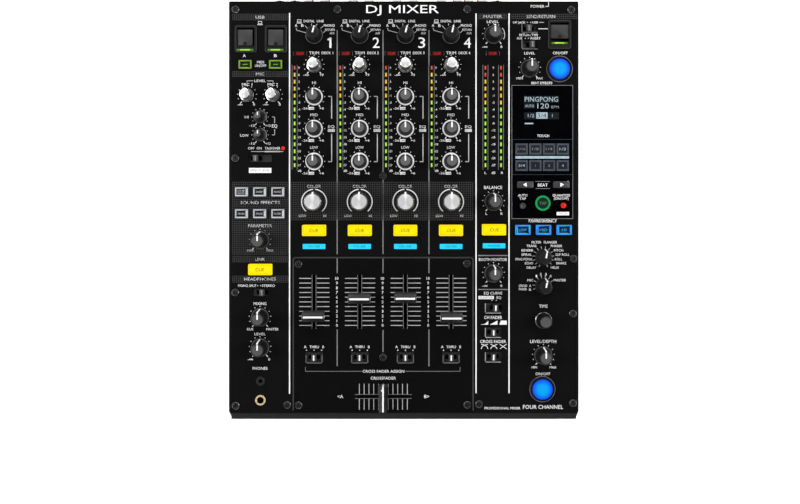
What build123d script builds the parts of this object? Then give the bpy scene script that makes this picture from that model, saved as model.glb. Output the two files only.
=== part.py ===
from build123d import *
from math import cos, radians, sin
import os

os.makedirs("parts", exist_ok=True)

# A four-channel DJ mixer. Millimetres, +Z up, +X to the user's right, -Y towards the user.
# The origin is on the surface that the mixer stands on, under the middle of its box.

# ---- housing ----
width = 333.0
depth = 414.0
height = 107.9
sheet = 2.0                     # folded steel
foot_height = 9.0
panel_top = 90.5
panel_under = panel_top - sheet
panel_rear = 195.4
panel_front = -195.3            # where the flat panel turns into the front lip
lip_front = -204.5              # lower edge of the sloping lip
seam = 76.5                     # lower edge of the panel's folded skirt
seam_gap = 0.3
edge_radius = 3.0
side = width / 2
front = -depth / 2
rear = depth / 2
lap_gap = 0.2                   # between the skirt and the tray's raised side

# ---- columns and rows of the control surface ----
channel_pitch = 43.35
channel_x = [-85.15 + channel_pitch * number for number in range(4)]
master_x = 85.2
left_x = -136.4
right_x = 132.5
selector_y = 163.0
trim_y = 134.6
high_y = 105.0
mid_y = 74.6
low_y = 43.5
filter_y = 5.2
cue_y = -22.1
assign_y = -142.6
fader_top_y = -67.6             # lever at the top of its scale
fader_bottom_y = -112.2
cross_y = -179.7
cross_x = -19.4
cross_half_travel = 22.5

# ---- knobs: radius at the skirt, radius at the top, height ----
knob_gap = 0.7
knob_base = panel_top + knob_gap
knob_styles = {
    "tone": (6.8, 5.0, 15.5),
    "trim": (7.15, 4.6, 15.5),
    "mic": (6.55, 4.6, 14.5),
    "slim": (6.1, 2.95, 14.5),
    "level": (8.0, 5.35, height - knob_base),
    "selector": (7.6, 5.0, 16.0),
    "filter": (9.75, 7.9, 15.0),
    "encoder": (7.8, 5.3, 15.0),
}
skirt_band = 2.2                # height of the straight skirt
top_edge = 0.7                  # bevel around the top
flute_radius = 1.3
flute_depth = 0.55
flute_count = 12
pointer_width = 0.9
pointer_depth = 0.35
shaft_radius = 3.0
shaft_play = 0.06               # running clearance in the bush
shaft_foot = 72.0
shaft_in_knob = 9.0
bush_radius = 3.6
bush_hole = 3.9

# name, centre x, centre y, style, degrees clockwise that the pointer is turned at rest
knobs = []
for number, x in enumerate(channel_x, start=1):
    knobs.append((f"input_selector_{number}", x, selector_y, "selector", 14.4))
    knobs.append((f"trim_knob_{number}", x, trim_y, "trim", 0))
    knobs.append((f"high_knob_{number}", x, high_y, "tone", 0))
    knobs.append((f"mid_knob_{number}", x, mid_y, "tone", 0))
    knobs.append((f"low_knob_{number}", x, low_y, "tone", 0))
    knobs.append((f"filter_knob_{number}", x, filter_y, "filter", 0))
knobs.append(("master_level_knob", master_x, 163.8, "level", 0))
knobs.append(("balance_knob", master_x, filter_y, "level", 0))
knobs.append(("booth_level_knob", master_x, -62.9, "level", 0))
knobs.append(("mic_level_knob_1", -148.7, 106.2, "mic", 0))
knobs.append(("mic_level_knob_2", -124.3, 106.2, "mic", 0))
knobs.append(("mic_high_knob", left_x, 85.7, "slim", 0))
knobs.append(("mic_low_knob", left_x, 68.6, "slim", 0))
knobs.append(("parameter_knob", left_x, -31.4, "level", 0))
knobs.append(("phones_mix_knob", left_x, -104.6, "level", 0))
knobs.append(("phones_level_knob", left_x, -133.2, "level", 0))
knobs.append(("send_level_knob", 119.5, 131.8, "level", 0))
knobs.append(("effect_selector", right_x, -47.3, "selector", 11.1))
knobs.append(("channel_selector", right_x, -74.9, "selector", 12.3))
knobs.append(("time_knob", right_x, -107.3, "encoder", 0))
knobs.append(("depth_knob", right_x, -140.7, "level", 0))

# ---- faders ----
fader_centre_y = (fader_top_y + fader_bottom_y) / 2
fader_rest_y = [-103.0, -86.0, -85.5, -104.0]
slot_width = 2.7
slot_length = 51.2
lever_width = 1.6
lever_length = 5.0
lever_foot = 74.0
cap_width = 20.5
cap_length = 10.5
cap_base = panel_top + 1.5
cap_height = 12.0
cap_waist = 8.6                 # length of the cap at its top
cap_scoop = 2.2                 # depth of the finger hollow on each side of the ridge
ridge = 1.1                     # half width of the ridge with the white line
cross_cap_width = 9.5
cross_cap_length = 24.0

# ---- fader plate ----
plate_left = -105.3
plate_right = 66.2
plate_rear = -47.1
plate_front = -194.0
plate_gap = 0.3
plate_flange = 2.5
plate_flange_thickness = 1.4

# ---- push buttons: centre x, centre y, width, length ----
button_travel = 1.2
button_proud = 2.2
button_foot = 82.0
button_gap = 0.3
cue_size = (22.5, 10.4)
cue_places = [(x, cue_y) for x in channel_x] + [(85.7, -21.5), (-136.2, -59.2)]
effect_size = (13.2, 9.4)
effect_places = [(left_x + column * 17.2, y) for y in (14.5, -6.2) for column in (-1, 0, 1)]
band_size = (15.1, 10.2)
band_places = [(right_x + column * 19.5 - 0.2, -21.5) for column in (-1, 0, 1)]
midi_size = (13.3, 9.1)
midi_places = [(-150.2, 135.2), (-121.3, 135.2)]
arrow_size = (15.0, 7.0)
arrow_places = [(115.2, 21.3), (149.4, 21.3)]
auto_button = (112.9, 1.2, 2.9)
tap_button = (131.8, 3.8, 6.9)
quantize_button = (151.6, 1.6, 2.4)
send_button = (147.9, 131.2, 11.8)
effect_button = (131.6, -172.7, 11.6)

# ---- slide switches: lever x, well x, y, well width, well length ----
switch_step = 2.9
assign_switches = [(x, x, assign_y, 17.0, 10.0) for x in channel_x]
centre_switches = [
    (85.0, 85.0, -118.8, 15.7, 9.0),
    (85.0, 85.0, -142.1, 15.7, 9.0),
    (-140.3, -136.3, 46.3, 22.3, 6.8),
    (118.5, 118.6, 169.6, 13.9, 9.1),
]
right_switches = [
    (87.1, 85.0, -95.6, 15.7, 8.5),
    (-134.3, left_x, -81.0, 15.5, 7.1),
    (121.7, 118.6, 154.3, 13.9, 7.5),
]
right_switch_travel = 4.2
switch_cap = (4.7, 6.4)
switch_cap_base = panel_under + 0.3
switch_cap_top = panel_top + 3.4
switch_stem = (2.0, 3.6)
switch_stem_foot = 84.0

# ---- display glass, meters and lamps ----
glass_left = 102.5
glass_right = 161.2
glass_rear = 115.4
glass_front = -10.3
glass_gap = 0.1
glass_foot = 87.0
glass_proud = 0.1
meter_size = (4.2, 99.4)
meter_y = 85.3
meter_x = [x - 18.4 for x in channel_x] + [77.5, 92.3]
clip_size = (12.6, 3.2)
clip_places = [(x - 13.2, 145.9) for x in channel_x] + [(84.5, 145.9)]
lamp_size = (21.7, 5.0)
lamp_places = [(x, -37.3) for x in channel_x] + [(85.7, -36.7)]
lens_foot = 85.0
lens_gap = 0.15
mic_lamp = (-114.5, 55.9, 1.9)

# ---- screws ----
screw_head_radius = 3.5
screw_head_height = 1.3
screw_radius = 1.5
screw_length = 8.0
screw_hole = 1.7
side_screws = [(-159.6, 187.6), (158.8, 187.4), (-159.8, 46.5), (161.0, -48.8),
               (-159.8, -81.0), (160.4, -101.0), (-159.4, -188.3), (160.6, -185.9)]
rear_screws = [(-63.0, 187.6), (60.3, 187.7)]
board_screws = [(-19.7, 29.7), (-110.6, -187.6), (71.4, -186.9)]
plate_screws = [(-99.9, -54.2), (59.9, -53.5), (-19.7, -142.5), (-99.8, -187.9), (60.2, -187.5)]

# ---- boards inside ----
board_top = 69.6
board_thickness = 1.6
board_side = 158.0
board_rear = 172.0
board_front = -192.0
main_board_z = 17.0

# ---- sockets in the panel: centre x, centre y, frame width, frame length ----
usb_frames = [(-149.9, 159.7, 20.7, 25.3), (-121.3, 159.7, 20.7, 25.3), (147.9, 163.9, 21.7, 26.9)]
usb_wall = 2.0
usb_well_floor = 80.0
usb_frame_proud = 0.7
phones_jack = (-136.0, -183.1)
mini_jack = (-136.0, -165.0)
jack_bore = 3.25
jack_nut = 4.9
mini_bore = 1.8
mini_nut = 4.4
jack_foot = 60.0
mini_foot = 72.0

# ---- rear plate and its sockets: x, z ----
rear_face = 194.9
rear_inside = rear_face - sheet
rear_foot = foot_height + sheet + 0.2
high_z = 70.0
middle_z = 55.0
bottom_z = 30.0
phono_places = [(x + offset, z) for x in channel_x for offset in (-8.0, 8.0) for z in (high_z, middle_z)]
digital_places = [(x, bottom_z) for x in channel_x] + [(23.2, bottom_z)]
record_places = [(x, z) for x in (63.5, 76.5) for z in (high_z, middle_z)]
rca_places = phono_places + digital_places + record_places
trs_places = [(-120.5, high_z), (-120.5, middle_z), (-106.0, high_z), (-106.0, middle_z),
              (91.0, high_z), (91.0, middle_z), (-144.0, bottom_z)]
ground_places = [(-118.0, bottom_z), (-105.0, bottom_z)]
xlr_out_places = [(84.0, bottom_z), (112.0, bottom_z)]
xlr_in_place = (-144.0, 62.0)
network_place = (-63.5, bottom_z)
midi_socket_place = (-20.2, bottom_z)
inlet_place = (147.0, bottom_z)
power_place = (127.4, 66.0)
power_size = (14.0, 9.0)
power_travel = 2.5
rca_radius = 4.15
rca_bore = 1.65
xlr_radius = 9.6
vent_pitch = 7.0
vent_count = 14
vent_size = (3.0, 24.0)


def save(piece, name):
    """Name a finished piece and write it to its own file."""
    piece.part.label = name
    export_step(piece.part, f"parts/{name}.step")
    print(name, round(piece.part.volume / 1000, 2), "cm3")


def place_xz(x, y, z):
    """A plane on the rear of the mixer, facing backwards, with its own +Y up."""
    return Plane(origin=(x, y, z), x_dir=(-1, 0, 0), z_dir=(0, 1, 0))


def rear_plane(y):
    """The whole rear plane at one depth. Its own x runs against the mixer's."""
    return place_xz(0, y, 0)


def seen_from_rear(places):
    """Places in the mixer's x and z as places on a rear plane."""
    return [(-x, z) for x, z in places]


# ---- base tray: floor, sides and front in one folded sheet ----
with BuildPart() as base_tray:
    with BuildSketch(Plane.YZ) as tray_outside:
        with BuildLine():
            Polyline(
                (front, foot_height), (front, seam - 10.5), (lip_front, seam - seam_gap),
                (panel_rear, seam - seam_gap), (panel_rear, foot_height), close=True,
            )
        make_face()
    extrude(amount=side, both=True)
    with BuildSketch(Plane.YZ) as tray_inside:
        with BuildLine():
            Polyline(
                (front + sheet, foot_height + sheet), (front + sheet, seam - 10.8),
                (lip_front + sheet, seam), (panel_rear + 1, seam),
                (panel_rear + 1, foot_height + sheet), close=True,
            )
        make_face()
    extrude(amount=side - sheet, both=True, mode=Mode.SUBTRACT)
    lap_outside = side - sheet - lap_gap
    for hand in (-1, 1):
        with Locations((hand * (lap_outside - sheet / 2), 0, seam)):
            Box(sheet, 380, 2 * (panel_under - seam - lap_gap))
        with Locations((hand * (lap_outside - sheet / 2 + 0.1), 0, seam - 6)):
            Box(sheet + 0.4, 380, 10)
        with BuildSketch(Plane.YZ.offset(hand * side)) as vents:
            with GridLocations(vent_pitch, 1, vent_count, 1):
                with Locations((70, 42)):
                    SlotOverall(vent_size[1], vent_size[0], rotation=90)
        extrude(amount=-hand * 2 * sheet, mode=Mode.SUBTRACT)
    for x, y in side_screws:
        hand = 1 if x > 0 else -1
        with Locations((hand * (lap_outside - 5.4), y, panel_under - lap_gap - sheet / 2)):
            Box(9.0, 10.0, sheet)
    with Locations(*[(x, y, panel_under) for x, y in side_screws]):
        Cylinder(screw_radius + 0.05, 14, mode=Mode.SUBTRACT)
save(base_tray, "base_tray")

# ---- rubber feet ----
foot_places = [(x, y) for x in (-132, 132) for y in (-172, 160)]
with BuildPart() as rubber_feet:
    with BuildSketch() as foot_soles:
        with Locations(*foot_places):
            Circle(11.0)
    extrude(amount=foot_height, taper=-4)
    with Locations(*[(x, y, 0) for x, y in foot_places]):
        Cylinder(5.0, 3.0, align=(Align.CENTER, Align.CENTER, Align.MIN), mode=Mode.SUBTRACT)
save(rubber_feet, "rubber_feet")

# ---- every opening that a control makes in the panel ----
panel_rects = []
for place in cue_places:
    panel_rects.append((place, cue_size, button_gap))
for place in effect_places:
    panel_rects.append((place, effect_size, button_gap))
for place in band_places:
    panel_rects.append((place, band_size, button_gap))
for place in midi_places:
    panel_rects.append((place, midi_size, button_gap))
for place in clip_places:
    panel_rects.append((place, clip_size, lens_gap))
for place in lamp_places:
    panel_rects.append((place, lamp_size, lens_gap))
for lever, x, y, well_width, well_length in centre_switches + right_switches:
    panel_rects.append(((x, y), (well_width, well_length), 0.0))
for x in meter_x:
    panel_rects.append(((x, meter_y), meter_size, lens_gap))
for x, y, frame_width, frame_length in usb_frames:
    panel_rects.append(((x, y), (frame_width - 1.6, frame_length - 1.6), 0.0))

# ---- top panel: one folded sheet with a sloping front lip ----
with BuildPart() as top_panel:
    with BuildSketch(Plane.YZ) as panel_outside:
        with BuildLine():
            Polyline(
                (panel_rear, seam), (panel_rear, panel_top), (panel_front, panel_top),
                (lip_front, seam), close=True,
            )
        make_face()
    extrude(amount=side, both=True)
    long_edges = top_panel.edges().filter_by(Axis.Y).group_by(Axis.Z)[-1]
    lip_edges = top_panel.edges().filter_by(Plane.YZ).group_by(Axis.Y)[0]
    ridge_edge = top_panel.edges().filter_by(Axis.X).group_by(Axis.Z)[-1].sort_by(Axis.Y)[0]
    fillet(long_edges + lip_edges + [ridge_edge], edge_radius)
    with BuildSketch(Plane.YZ) as panel_inside:
        with BuildLine():
            Polyline(
                (panel_rear + 1, seam - 1), (panel_rear + 1, panel_under),
                (panel_front + 0.8, panel_under), (lip_front + 1.7, seam - 1), close=True,
            )
        make_face()
    extrude(amount=side - sheet, both=True, mode=Mode.SUBTRACT)
    with BuildSketch(Plane.XY.offset(panel_top + 1)) as panel_openings:
        with Locations(*[(x, y) for name, x, y, style, turn in knobs]):
            Circle(bush_hole)
        for place, size, gap in panel_rects:
            with Locations(place):
                RectangleRounded(size[0] + 2 * gap, size[1] + 2 * gap, 0.8)
        for x, y, radius in (send_button, effect_button, mic_lamp):
            with Locations((x, y)):
                Circle(radius + button_gap)
        with Locations(phones_jack):
            Circle(jack_nut - 0.3)
        with Locations(mini_jack):
            Circle(mini_nut - 0.5)
        with Locations(*(side_screws + rear_screws + board_screws)):
            Circle(screw_hole)
        with Locations(((plate_left + plate_right) / 2, (plate_rear + plate_front) / 2)):
            Rectangle(plate_right - plate_left + 2 * plate_gap, plate_rear - plate_front + 2 * plate_gap)
        with Locations(((glass_left + glass_right) / 2, (glass_rear + glass_front) / 2)):
            Rectangle(glass_right - glass_left, glass_rear - glass_front)
    extrude(amount=-2 * sheet, mode=Mode.SUBTRACT)
save(top_panel, "top_panel")

# ---- fader plate: a second plate set flush into the panel, on its own flange ----
plate_centre = ((plate_left + plate_right) / 2, (plate_rear + plate_front) / 2)
plate_width = plate_right - plate_left
plate_length = plate_rear - plate_front
with BuildPart() as fader_plate:
    with BuildSketch(Plane.XY.offset(panel_under)) as plate_outline:
        with Locations(plate_centre):
            Rectangle(plate_width, plate_length)
    extrude(amount=sheet)
    with BuildSketch(Plane.XY.offset(panel_under - 0.1)) as flange_ring:
        with Locations(plate_centre):
            Rectangle(plate_width + 2 * plate_flange, plate_length)
            Rectangle(plate_width - 2 * plate_flange, plate_length - 2 * plate_flange, mode=Mode.SUBTRACT)
    extrude(amount=-plate_flange_thickness)
    with BuildSketch(Plane.XY.offset(panel_under - 0.1)) as flange_web:
        with Locations(plate_centre):
            Rectangle(plate_width, plate_length)
            Rectangle(plate_width - 2 * plate_flange, plate_length - 2 * plate_flange, mode=Mode.SUBTRACT)
    extrude(amount=0.2)
    with BuildSketch(Plane.XY.offset(panel_top + 1)) as plate_openings:
        with Locations(*[(x, fader_centre_y) for x in channel_x]):
            Rectangle(slot_width, slot_length)
        with Locations((cross_x, cross_y)):
            Rectangle(slot_length, slot_width)
        for lever, x, y, well_width, well_length in assign_switches:
            with Locations((x, y)):
                RectangleRounded(well_width, well_length, 0.8)
        with Locations(*plate_screws):
            Circle(screw_hole)
    extrude(amount=-2 * sheet, mode=Mode.SUBTRACT)
save(fader_plate, "fader_plate")

# ---- rear plate: closes the back, with a flange forward under the panel ----
with BuildPart() as rear_plate:
    with BuildSketch(rear_plane(rear_face)) as rear_outline:
        with Locations((0, (rear_foot + panel_under - lap_gap) / 2)):
            Rectangle(2 * (side - 2 * sheet - 1.0), panel_under - lap_gap - rear_foot)
    extrude(amount=-sheet)
    with Locations((0, rear_face - 8, panel_under - lap_gap - sheet / 2)):
        Box(280, 16, sheet)
    with BuildSketch(rear_plane(rear_face + 1)) as rear_openings:
        with Locations(*seen_from_rear(rca_places)):
            Circle(rca_radius + 0.3)
        with Locations(*seen_from_rear(trs_places)):
            Circle(4.9)
        with Locations(*seen_from_rear(ground_places)):
            Circle(2.2)
        with Locations(*seen_from_rear(xlr_out_places + [xlr_in_place])):
            Circle(xlr_radius + 1.7)
        with Locations(*seen_from_rear([network_place])):
            Rectangle(16.4, 14.4)
        with Locations(*seen_from_rear([midi_socket_place])):
            Circle(8.3)
        with Locations(*seen_from_rear([inlet_place])):
            Rectangle(27.6, 20.4)
        with Locations(*seen_from_rear([power_place])):
            Rectangle(power_size[0] + 0.6, power_size[1] + 0.6)
    extrude(amount=-2 * sheet, mode=Mode.SUBTRACT)
    with Locations(*[(x, y, panel_under) for x, y in rear_screws]):
        Cylinder(screw_radius + 0.05, 8, mode=Mode.SUBTRACT)
save(rear_plate, "rear_plate")

# ---- panel screws: low heads with a cross recess ----
with BuildPart() as panel_screws:
    all_screws = side_screws + rear_screws + board_screws + plate_screws
    with BuildSketch(Plane.XY.offset(panel_top)) as screw_heads:
        with Locations(*all_screws):
            Circle(screw_head_radius)
    extrude(amount=screw_head_height)
    chamfer(panel_screws.edges().group_by(Axis.Z)[-1], 0.5)
    with BuildSketch(Plane.XY.offset(panel_top)) as screw_shanks:
        with Locations(*all_screws):
            Circle(screw_radius)
    extrude(amount=-screw_length)
    with BuildSketch(Plane.XY.offset(panel_top + screw_head_height)) as screw_recesses:
        with Locations(*all_screws):
            Rectangle(3.4, 0.8)
            Rectangle(0.8, 3.4)
    extrude(amount=-0.8, mode=Mode.SUBTRACT)
save(panel_screws, "panel_screws")

# ---- circuit boards: control board, main board and power supply ----
with BuildPart() as circuit_boards:
    with BuildSketch(Plane.XY.offset(board_top)) as control_board:
        with Locations((0, (board_rear + board_front) / 2)):
            Rectangle(2 * board_side, board_rear - board_front)
        with Locations((-board_side, board_front)):
            Rectangle(2 * 43.0, 2 * 40.0, mode=Mode.SUBTRACT)
    extrude(amount=-board_thickness)
    with BuildSketch(Plane.XY.offset(board_top)) as spacers:
        with Locations(*(board_screws + plate_screws)):
            RegularPolygon(2.6, 6)
            Circle(screw_radius + 0.05, mode=Mode.SUBTRACT)
    extrude(amount=panel_under - lap_gap - board_top)
    with Locations((-30, -10, main_board_z)):
        Box(240, 320, board_thickness)
    with BuildSketch(Plane.XY.offset(foot_height + sheet)) as main_pillars:
        with Locations((-30, -10)):
            with GridLocations(220, 300, 2, 2):
                RegularPolygon(3.0, 6)
    extrude(until=Until.NEXT)
    with Locations((124, 115, foot_height + sheet + 22)):
        Box(60, 90, 44)
    with Locations((-70, 90, main_board_z + 10)):
        Box(40, 40, 18.4)
    with Locations((20, -60, main_board_z + 4)):
        Box(30, 30, 6.4)
save(circuit_boards, "circuit_boards")

# ---- control bodies: what each knob, fader, switch and button works, under the panel ----
with BuildPart() as control_bodies:
    with BuildSketch(Plane.XY.offset(board_top)) as pot_bodies:
        with Locations(*[(x, y) for name, x, y, style, turn in knobs]):
            Rectangle(10.0, 11.0)
    extrude(amount=10.4)
    with BuildSketch(Plane.XY.offset(board_top + 10.4)) as bushes:
        with Locations(*[(x, y) for name, x, y, style, turn in knobs]):
            Circle(bush_radius)
    extrude(amount=panel_top - board_top - 10.4)
    with BuildSketch(Plane.XY.offset(shaft_foot - 0.4)) as shaft_bores:
        with Locations(*[(x, y) for name, x, y, style, turn in knobs]):
            Circle(shaft_radius + shaft_play)
    extrude(amount=30, mode=Mode.SUBTRACT)
    with BuildSketch(Plane.XY.offset(board_top)) as fader_bodies:
        with Locations(*[(x, fader_centre_y) for x in channel_x]):
            Rectangle(12.0, 64.0)
        with Locations((cross_x, cross_y)):
            Rectangle(64.0, 12.0)
    extrude(amount=panel_under - lap_gap - board_top)
    with BuildSketch(Plane.XY.offset(lever_foot - 1.0)) as fader_tracks:
        with Locations(*[(x, fader_centre_y) for x in channel_x]):
            Rectangle(slot_width, slot_length)
        with Locations((cross_x, cross_y)):
            Rectangle(slot_length, slot_width)
    extrude(amount=30, mode=Mode.SUBTRACT)
    for lever, x, y, well_width, well_length in assign_switches + centre_switches + right_switches:
        with BuildSketch(Plane.XY.offset(board_top)) as switch_body:
            with Locations((x, y)):
                Rectangle(well_width + 3.0, well_length + 2.4)
        extrude(amount=panel_under - lap_gap - board_top)
        with BuildSketch(Plane.XY.offset(switch_stem_foot - 1.0)) as switch_track:
            with Locations((lever, y)):
                Rectangle(switch_stem[0] + 2 * right_switch_travel + 0.6, switch_stem[1] + 0.6)
        extrude(amount=20, mode=Mode.SUBTRACT)
    button_places = cue_places + effect_places + band_places + midi_places + arrow_places
    for x, y, radius in (auto_button, tap_button, quantize_button, send_button, effect_button):
        button_places.append((x, y))
    with BuildSketch(Plane.XY.offset(board_top)) as key_switches:
        with Locations(*button_places):
            Rectangle(4.6, 4.6)
    extrude(amount=button_foot - button_travel - 0.4 - board_top)
    with Locations((power_place[0], rear_inside - 13.5, power_place[1] + 2)):
        Box(18, 12, 14)
save(control_bodies, "control_bodies")


# ---- sockets: everything a plug goes into ----
with BuildPart() as sockets:
    # USB ports: a framed well in the panel with a connector tongue on its floor
    for x, y, frame_width, frame_length in usb_frames:
        with BuildSketch(Plane.XY.offset(board_top + 0.2)) as usb_block:
            with Locations((x, y)):
                RectangleRounded(frame_width - 2.0, frame_length - 2.0, 1.0)
        extrude(amount=panel_top - board_top)
        with BuildSketch(Plane.XY.offset(panel_top + 0.05)) as usb_rim:
            with Locations((x, y)):
                RectangleRounded(frame_width, frame_length, 2.0)
        extrude(amount=usb_frame_proud)
        with BuildSketch(Plane.XY.offset(usb_well_floor)) as usb_well:
            with Locations((x, y + 1.7)):
                Rectangle(frame_width - 2 * usb_wall - 0.3, frame_length - 2 * usb_wall - 3.4)
        extrude(amount=20, mode=Mode.SUBTRACT)
        with Locations((x, y + 1.7, usb_well_floor + 2.5)):
            Box(8.0, 3.2, 5.2)
    # phones jacks: nut on top, body below
    for (x, y), nut, bore, foot, half in (
        (phones_jack, jack_nut, jack_bore, jack_foot, 6.5),
        (mini_jack, mini_nut, mini_bore, mini_foot, 4.6),
    ):
        with BuildSketch(Plane.XY.offset(foot)) as jack_body:
            with Locations((x, y)):
                Rectangle(2 * half, 2 * half)
        extrude(amount=panel_under - lap_gap - foot)
        with BuildSketch(Plane.XY.offset(panel_under - 1)) as jack_neck:
            with Locations((x, y)):
                Circle(nut - 0.6)
        extrude(amount=sheet + 1.2)
        with BuildSketch(Plane.XY.offset(panel_top + 0.05)) as jack_ring:
            with Locations((x, y)):
                Circle(nut)
        extrude(amount=0.8)
        with BuildSketch(Plane.XY.offset(foot + 1.5)) as jack_bore_sketch:
            with Locations((x, y)):
                Circle(bore)
        extrude(amount=40, mode=Mode.SUBTRACT)
    # phono sockets: insulated barrels
    with BuildSketch(rear_plane(rear_inside - 11)) as rca_bodies:
        with Locations(*seen_from_rear(rca_places)):
            Rectangle(10.0, 12.0)
    extrude(amount=10.9)
    with BuildSketch(rear_plane(rear_inside - 1)) as rca_barrels:
        with Locations(*seen_from_rear(rca_places)):
            Circle(rca_radius)
    extrude(amount=rear - rear_inside + 1 - 1.0)
    with BuildSketch(rear_plane(rear_face + 0.05)) as rca_washers:
        with Locations(*seen_from_rear(rca_places)):
            Circle(rca_radius + 1.5)
    extrude(amount=1.6)
    with BuildSketch(rear_plane(rear)) as rca_bores:
        with Locations(*seen_from_rear(rca_places)):
            Circle(rca_bore)
    extrude(amount=-14, mode=Mode.SUBTRACT)
    # balanced jacks: body, threaded neck, nut
    with BuildSketch(rear_plane(rear_inside - 18)) as trs_bodies:
        with Locations(*seen_from_rear(trs_places)):
            Rectangle(14.0, 14.0)
    extrude(amount=17.9)
    with BuildSketch(rear_plane(rear_inside - 1)) as trs_necks:
        with Locations(*seen_from_rear(trs_places)):
            Circle(4.6)
    extrude(amount=8.0)
    with BuildSketch(rear_plane(rear_face + 0.05)) as trs_nuts:
        with Locations(*seen_from_rear(trs_places)):
            RegularPolygon(6.6, 6)
    extrude(amount=3.0)
    with BuildSketch(rear_plane(rear)) as trs_bores:
        with Locations(*seen_from_rear(trs_places)):
            Circle(jack_bore)
    extrude(amount=-30, mode=Mode.SUBTRACT)
    # ground posts
    with BuildSketch(rear_plane(rear_inside - 6)) as ground_shafts:
        with Locations(*seen_from_rear(ground_places)):
            Circle(2.0)
    extrude(amount=rear - rear_inside + 6)
    with BuildSketch(rear_plane(rear_face + 3)) as ground_nuts:
        with Locations(*seen_from_rear(ground_places)):
            Circle(4.2)
    extrude(amount=7.0)
    # three-pin output sockets: a round cup with three pins
    for x, z in xlr_out_places:
        with BuildSketch(place_xz(x, rear_inside - 16, z)) as xlr_shell:
            Circle(xlr_radius + 1.4)
        extrude(amount=rear_face - rear_inside + 16 + 1.5)
        with BuildSketch(place_xz(x, rear_face + 0.05, z)) as xlr_flange:
            RectangleRounded(25.5, 27.5, 2.5)
        extrude(amount=1.6)
        with BuildSketch(place_xz(x, rear_face + 5, z)) as xlr_cup:
            Circle(xlr_radius)
        extrude(amount=-19, mode=Mode.SUBTRACT)
        with BuildSketch(place_xz(x, rear_inside - 13, z)) as xlr_pins:
            with PolarLocations(3.6, 3, start_angle=-90):
                Circle(1.2)
        extrude(amount=11)
    # microphone socket: the same flange with a plug of three holes
    x, z = xlr_in_place
    with BuildSketch(place_xz(x, rear_inside - 16, z)) as mic_shell:
        Circle(xlr_radius + 1.4)
    extrude(amount=rear_face - rear_inside + 16 + 1.5)
    with BuildSketch(place_xz(x, rear_face + 0.05, z)) as mic_flange:
        RectangleRounded(25.5, 27.5, 2.5)
    extrude(amount=1.6)
    with BuildSketch(place_xz(x, rear_face + 5, z)) as mic_holes:
        with PolarLocations(3.6, 3, start_angle=-90):
            Circle(1.5)
    extrude(amount=-16, mode=Mode.SUBTRACT)
    # network socket
    x, z = network_place
    with BuildSketch(place_xz(x, rear_inside - 14, z)) as network_block:
        Rectangle(16.0, 14.0)
    extrude(amount=rear_face - rear_inside + 14 + 0.6)
    with BuildSketch(place_xz(x, rear_face + 2, z)) as network_hole:
        with Locations((0, -0.6)):
            Rectangle(11.8, 7.6)
        with Locations((0, 3.6)):
            Rectangle(6.0, 2.4)
    extrude(amount=-14, mode=Mode.SUBTRACT)
    # five-pin control socket
    x, z = midi_socket_place
    with BuildSketch(place_xz(x, rear_inside - 12, z)) as midi_block:
        Circle(8.0)
    extrude(amount=rear_face - rear_inside + 12 + 0.8)
    with BuildSketch(place_xz(x, rear_face + 2, z)) as midi_holes:
        with PolarLocations(5.0, 5, start_angle=0, angular_range=180, endpoint=True):
            Circle(0.9)
    extrude(amount=-12, mode=Mode.SUBTRACT)
    # mains inlet with three blades
    x, z = inlet_place
    with BuildSketch(place_xz(x, rear_inside - 16, z)) as inlet_block:
        Rectangle(27.0, 20.0)
    extrude(amount=rear_face - rear_inside + 16 + 1.0)
    with BuildSketch(place_xz(x, rear_face + 0.05, z)) as inlet_flange:
        RectangleRounded(31.0, 24.0, 2.0)
    extrude(amount=1.8)
    with BuildSketch(place_xz(x, rear_face + 3, z)) as inlet_cavity:
        with BuildLine():
            Polyline((-12, -8), (12, -8), (12, 4), (8, 8), (-8, 8), (-12, 4), close=True)
        make_face()
    extrude(amount=-18, mode=Mode.SUBTRACT)
    with BuildSketch(place_xz(x, rear_inside - 14, z)) as inlet_blades:
        with Locations((-7, -2), (7, -2), (0, 2.5)):
            Rectangle(2.0, 4.0)
    extrude(amount=12)
save(sockets, "sockets")

# ---- display glass, meter lenses and lamps ----
with BuildPart() as windows:
    with BuildSketch(Plane.XY.offset(glass_foot)) as glass:
        with Locations(((glass_left + glass_right) / 2, (glass_rear + glass_front) / 2)):
            Rectangle(glass_right - glass_left - 2 * glass_gap, glass_rear - glass_front - 2 * glass_gap)
        for place in arrow_places:
            with Locations(place):
                RectangleRounded(arrow_size[0] + 2 * button_gap, arrow_size[1] + 2 * button_gap, 0.8,
                                 mode=Mode.SUBTRACT)
        for x, y, radius in (auto_button, tap_button, quantize_button):
            with Locations((x, y)):
                Circle(radius + button_gap, mode=Mode.SUBTRACT)
    extrude(amount=panel_top + glass_proud - glass_foot)
    with Locations((131, 92, glass_foot - 4)):
        Box(38, 30, 8)
    with BuildSketch(Plane.XY.offset(lens_foot)) as lenses:
        with Locations(*[(x, meter_y) for x in meter_x]):
            RectangleRounded(*meter_size, 0.8)
        with Locations(*clip_places):
            RectangleRounded(*clip_size, 0.8)
        with Locations(*lamp_places):
            RectangleRounded(*lamp_size, 0.8)
        with Locations((mic_lamp[0], mic_lamp[1])):
            Circle(mic_lamp[2])
    extrude(amount=panel_top + glass_proud - lens_foot)
save(windows, "windows")


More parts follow.
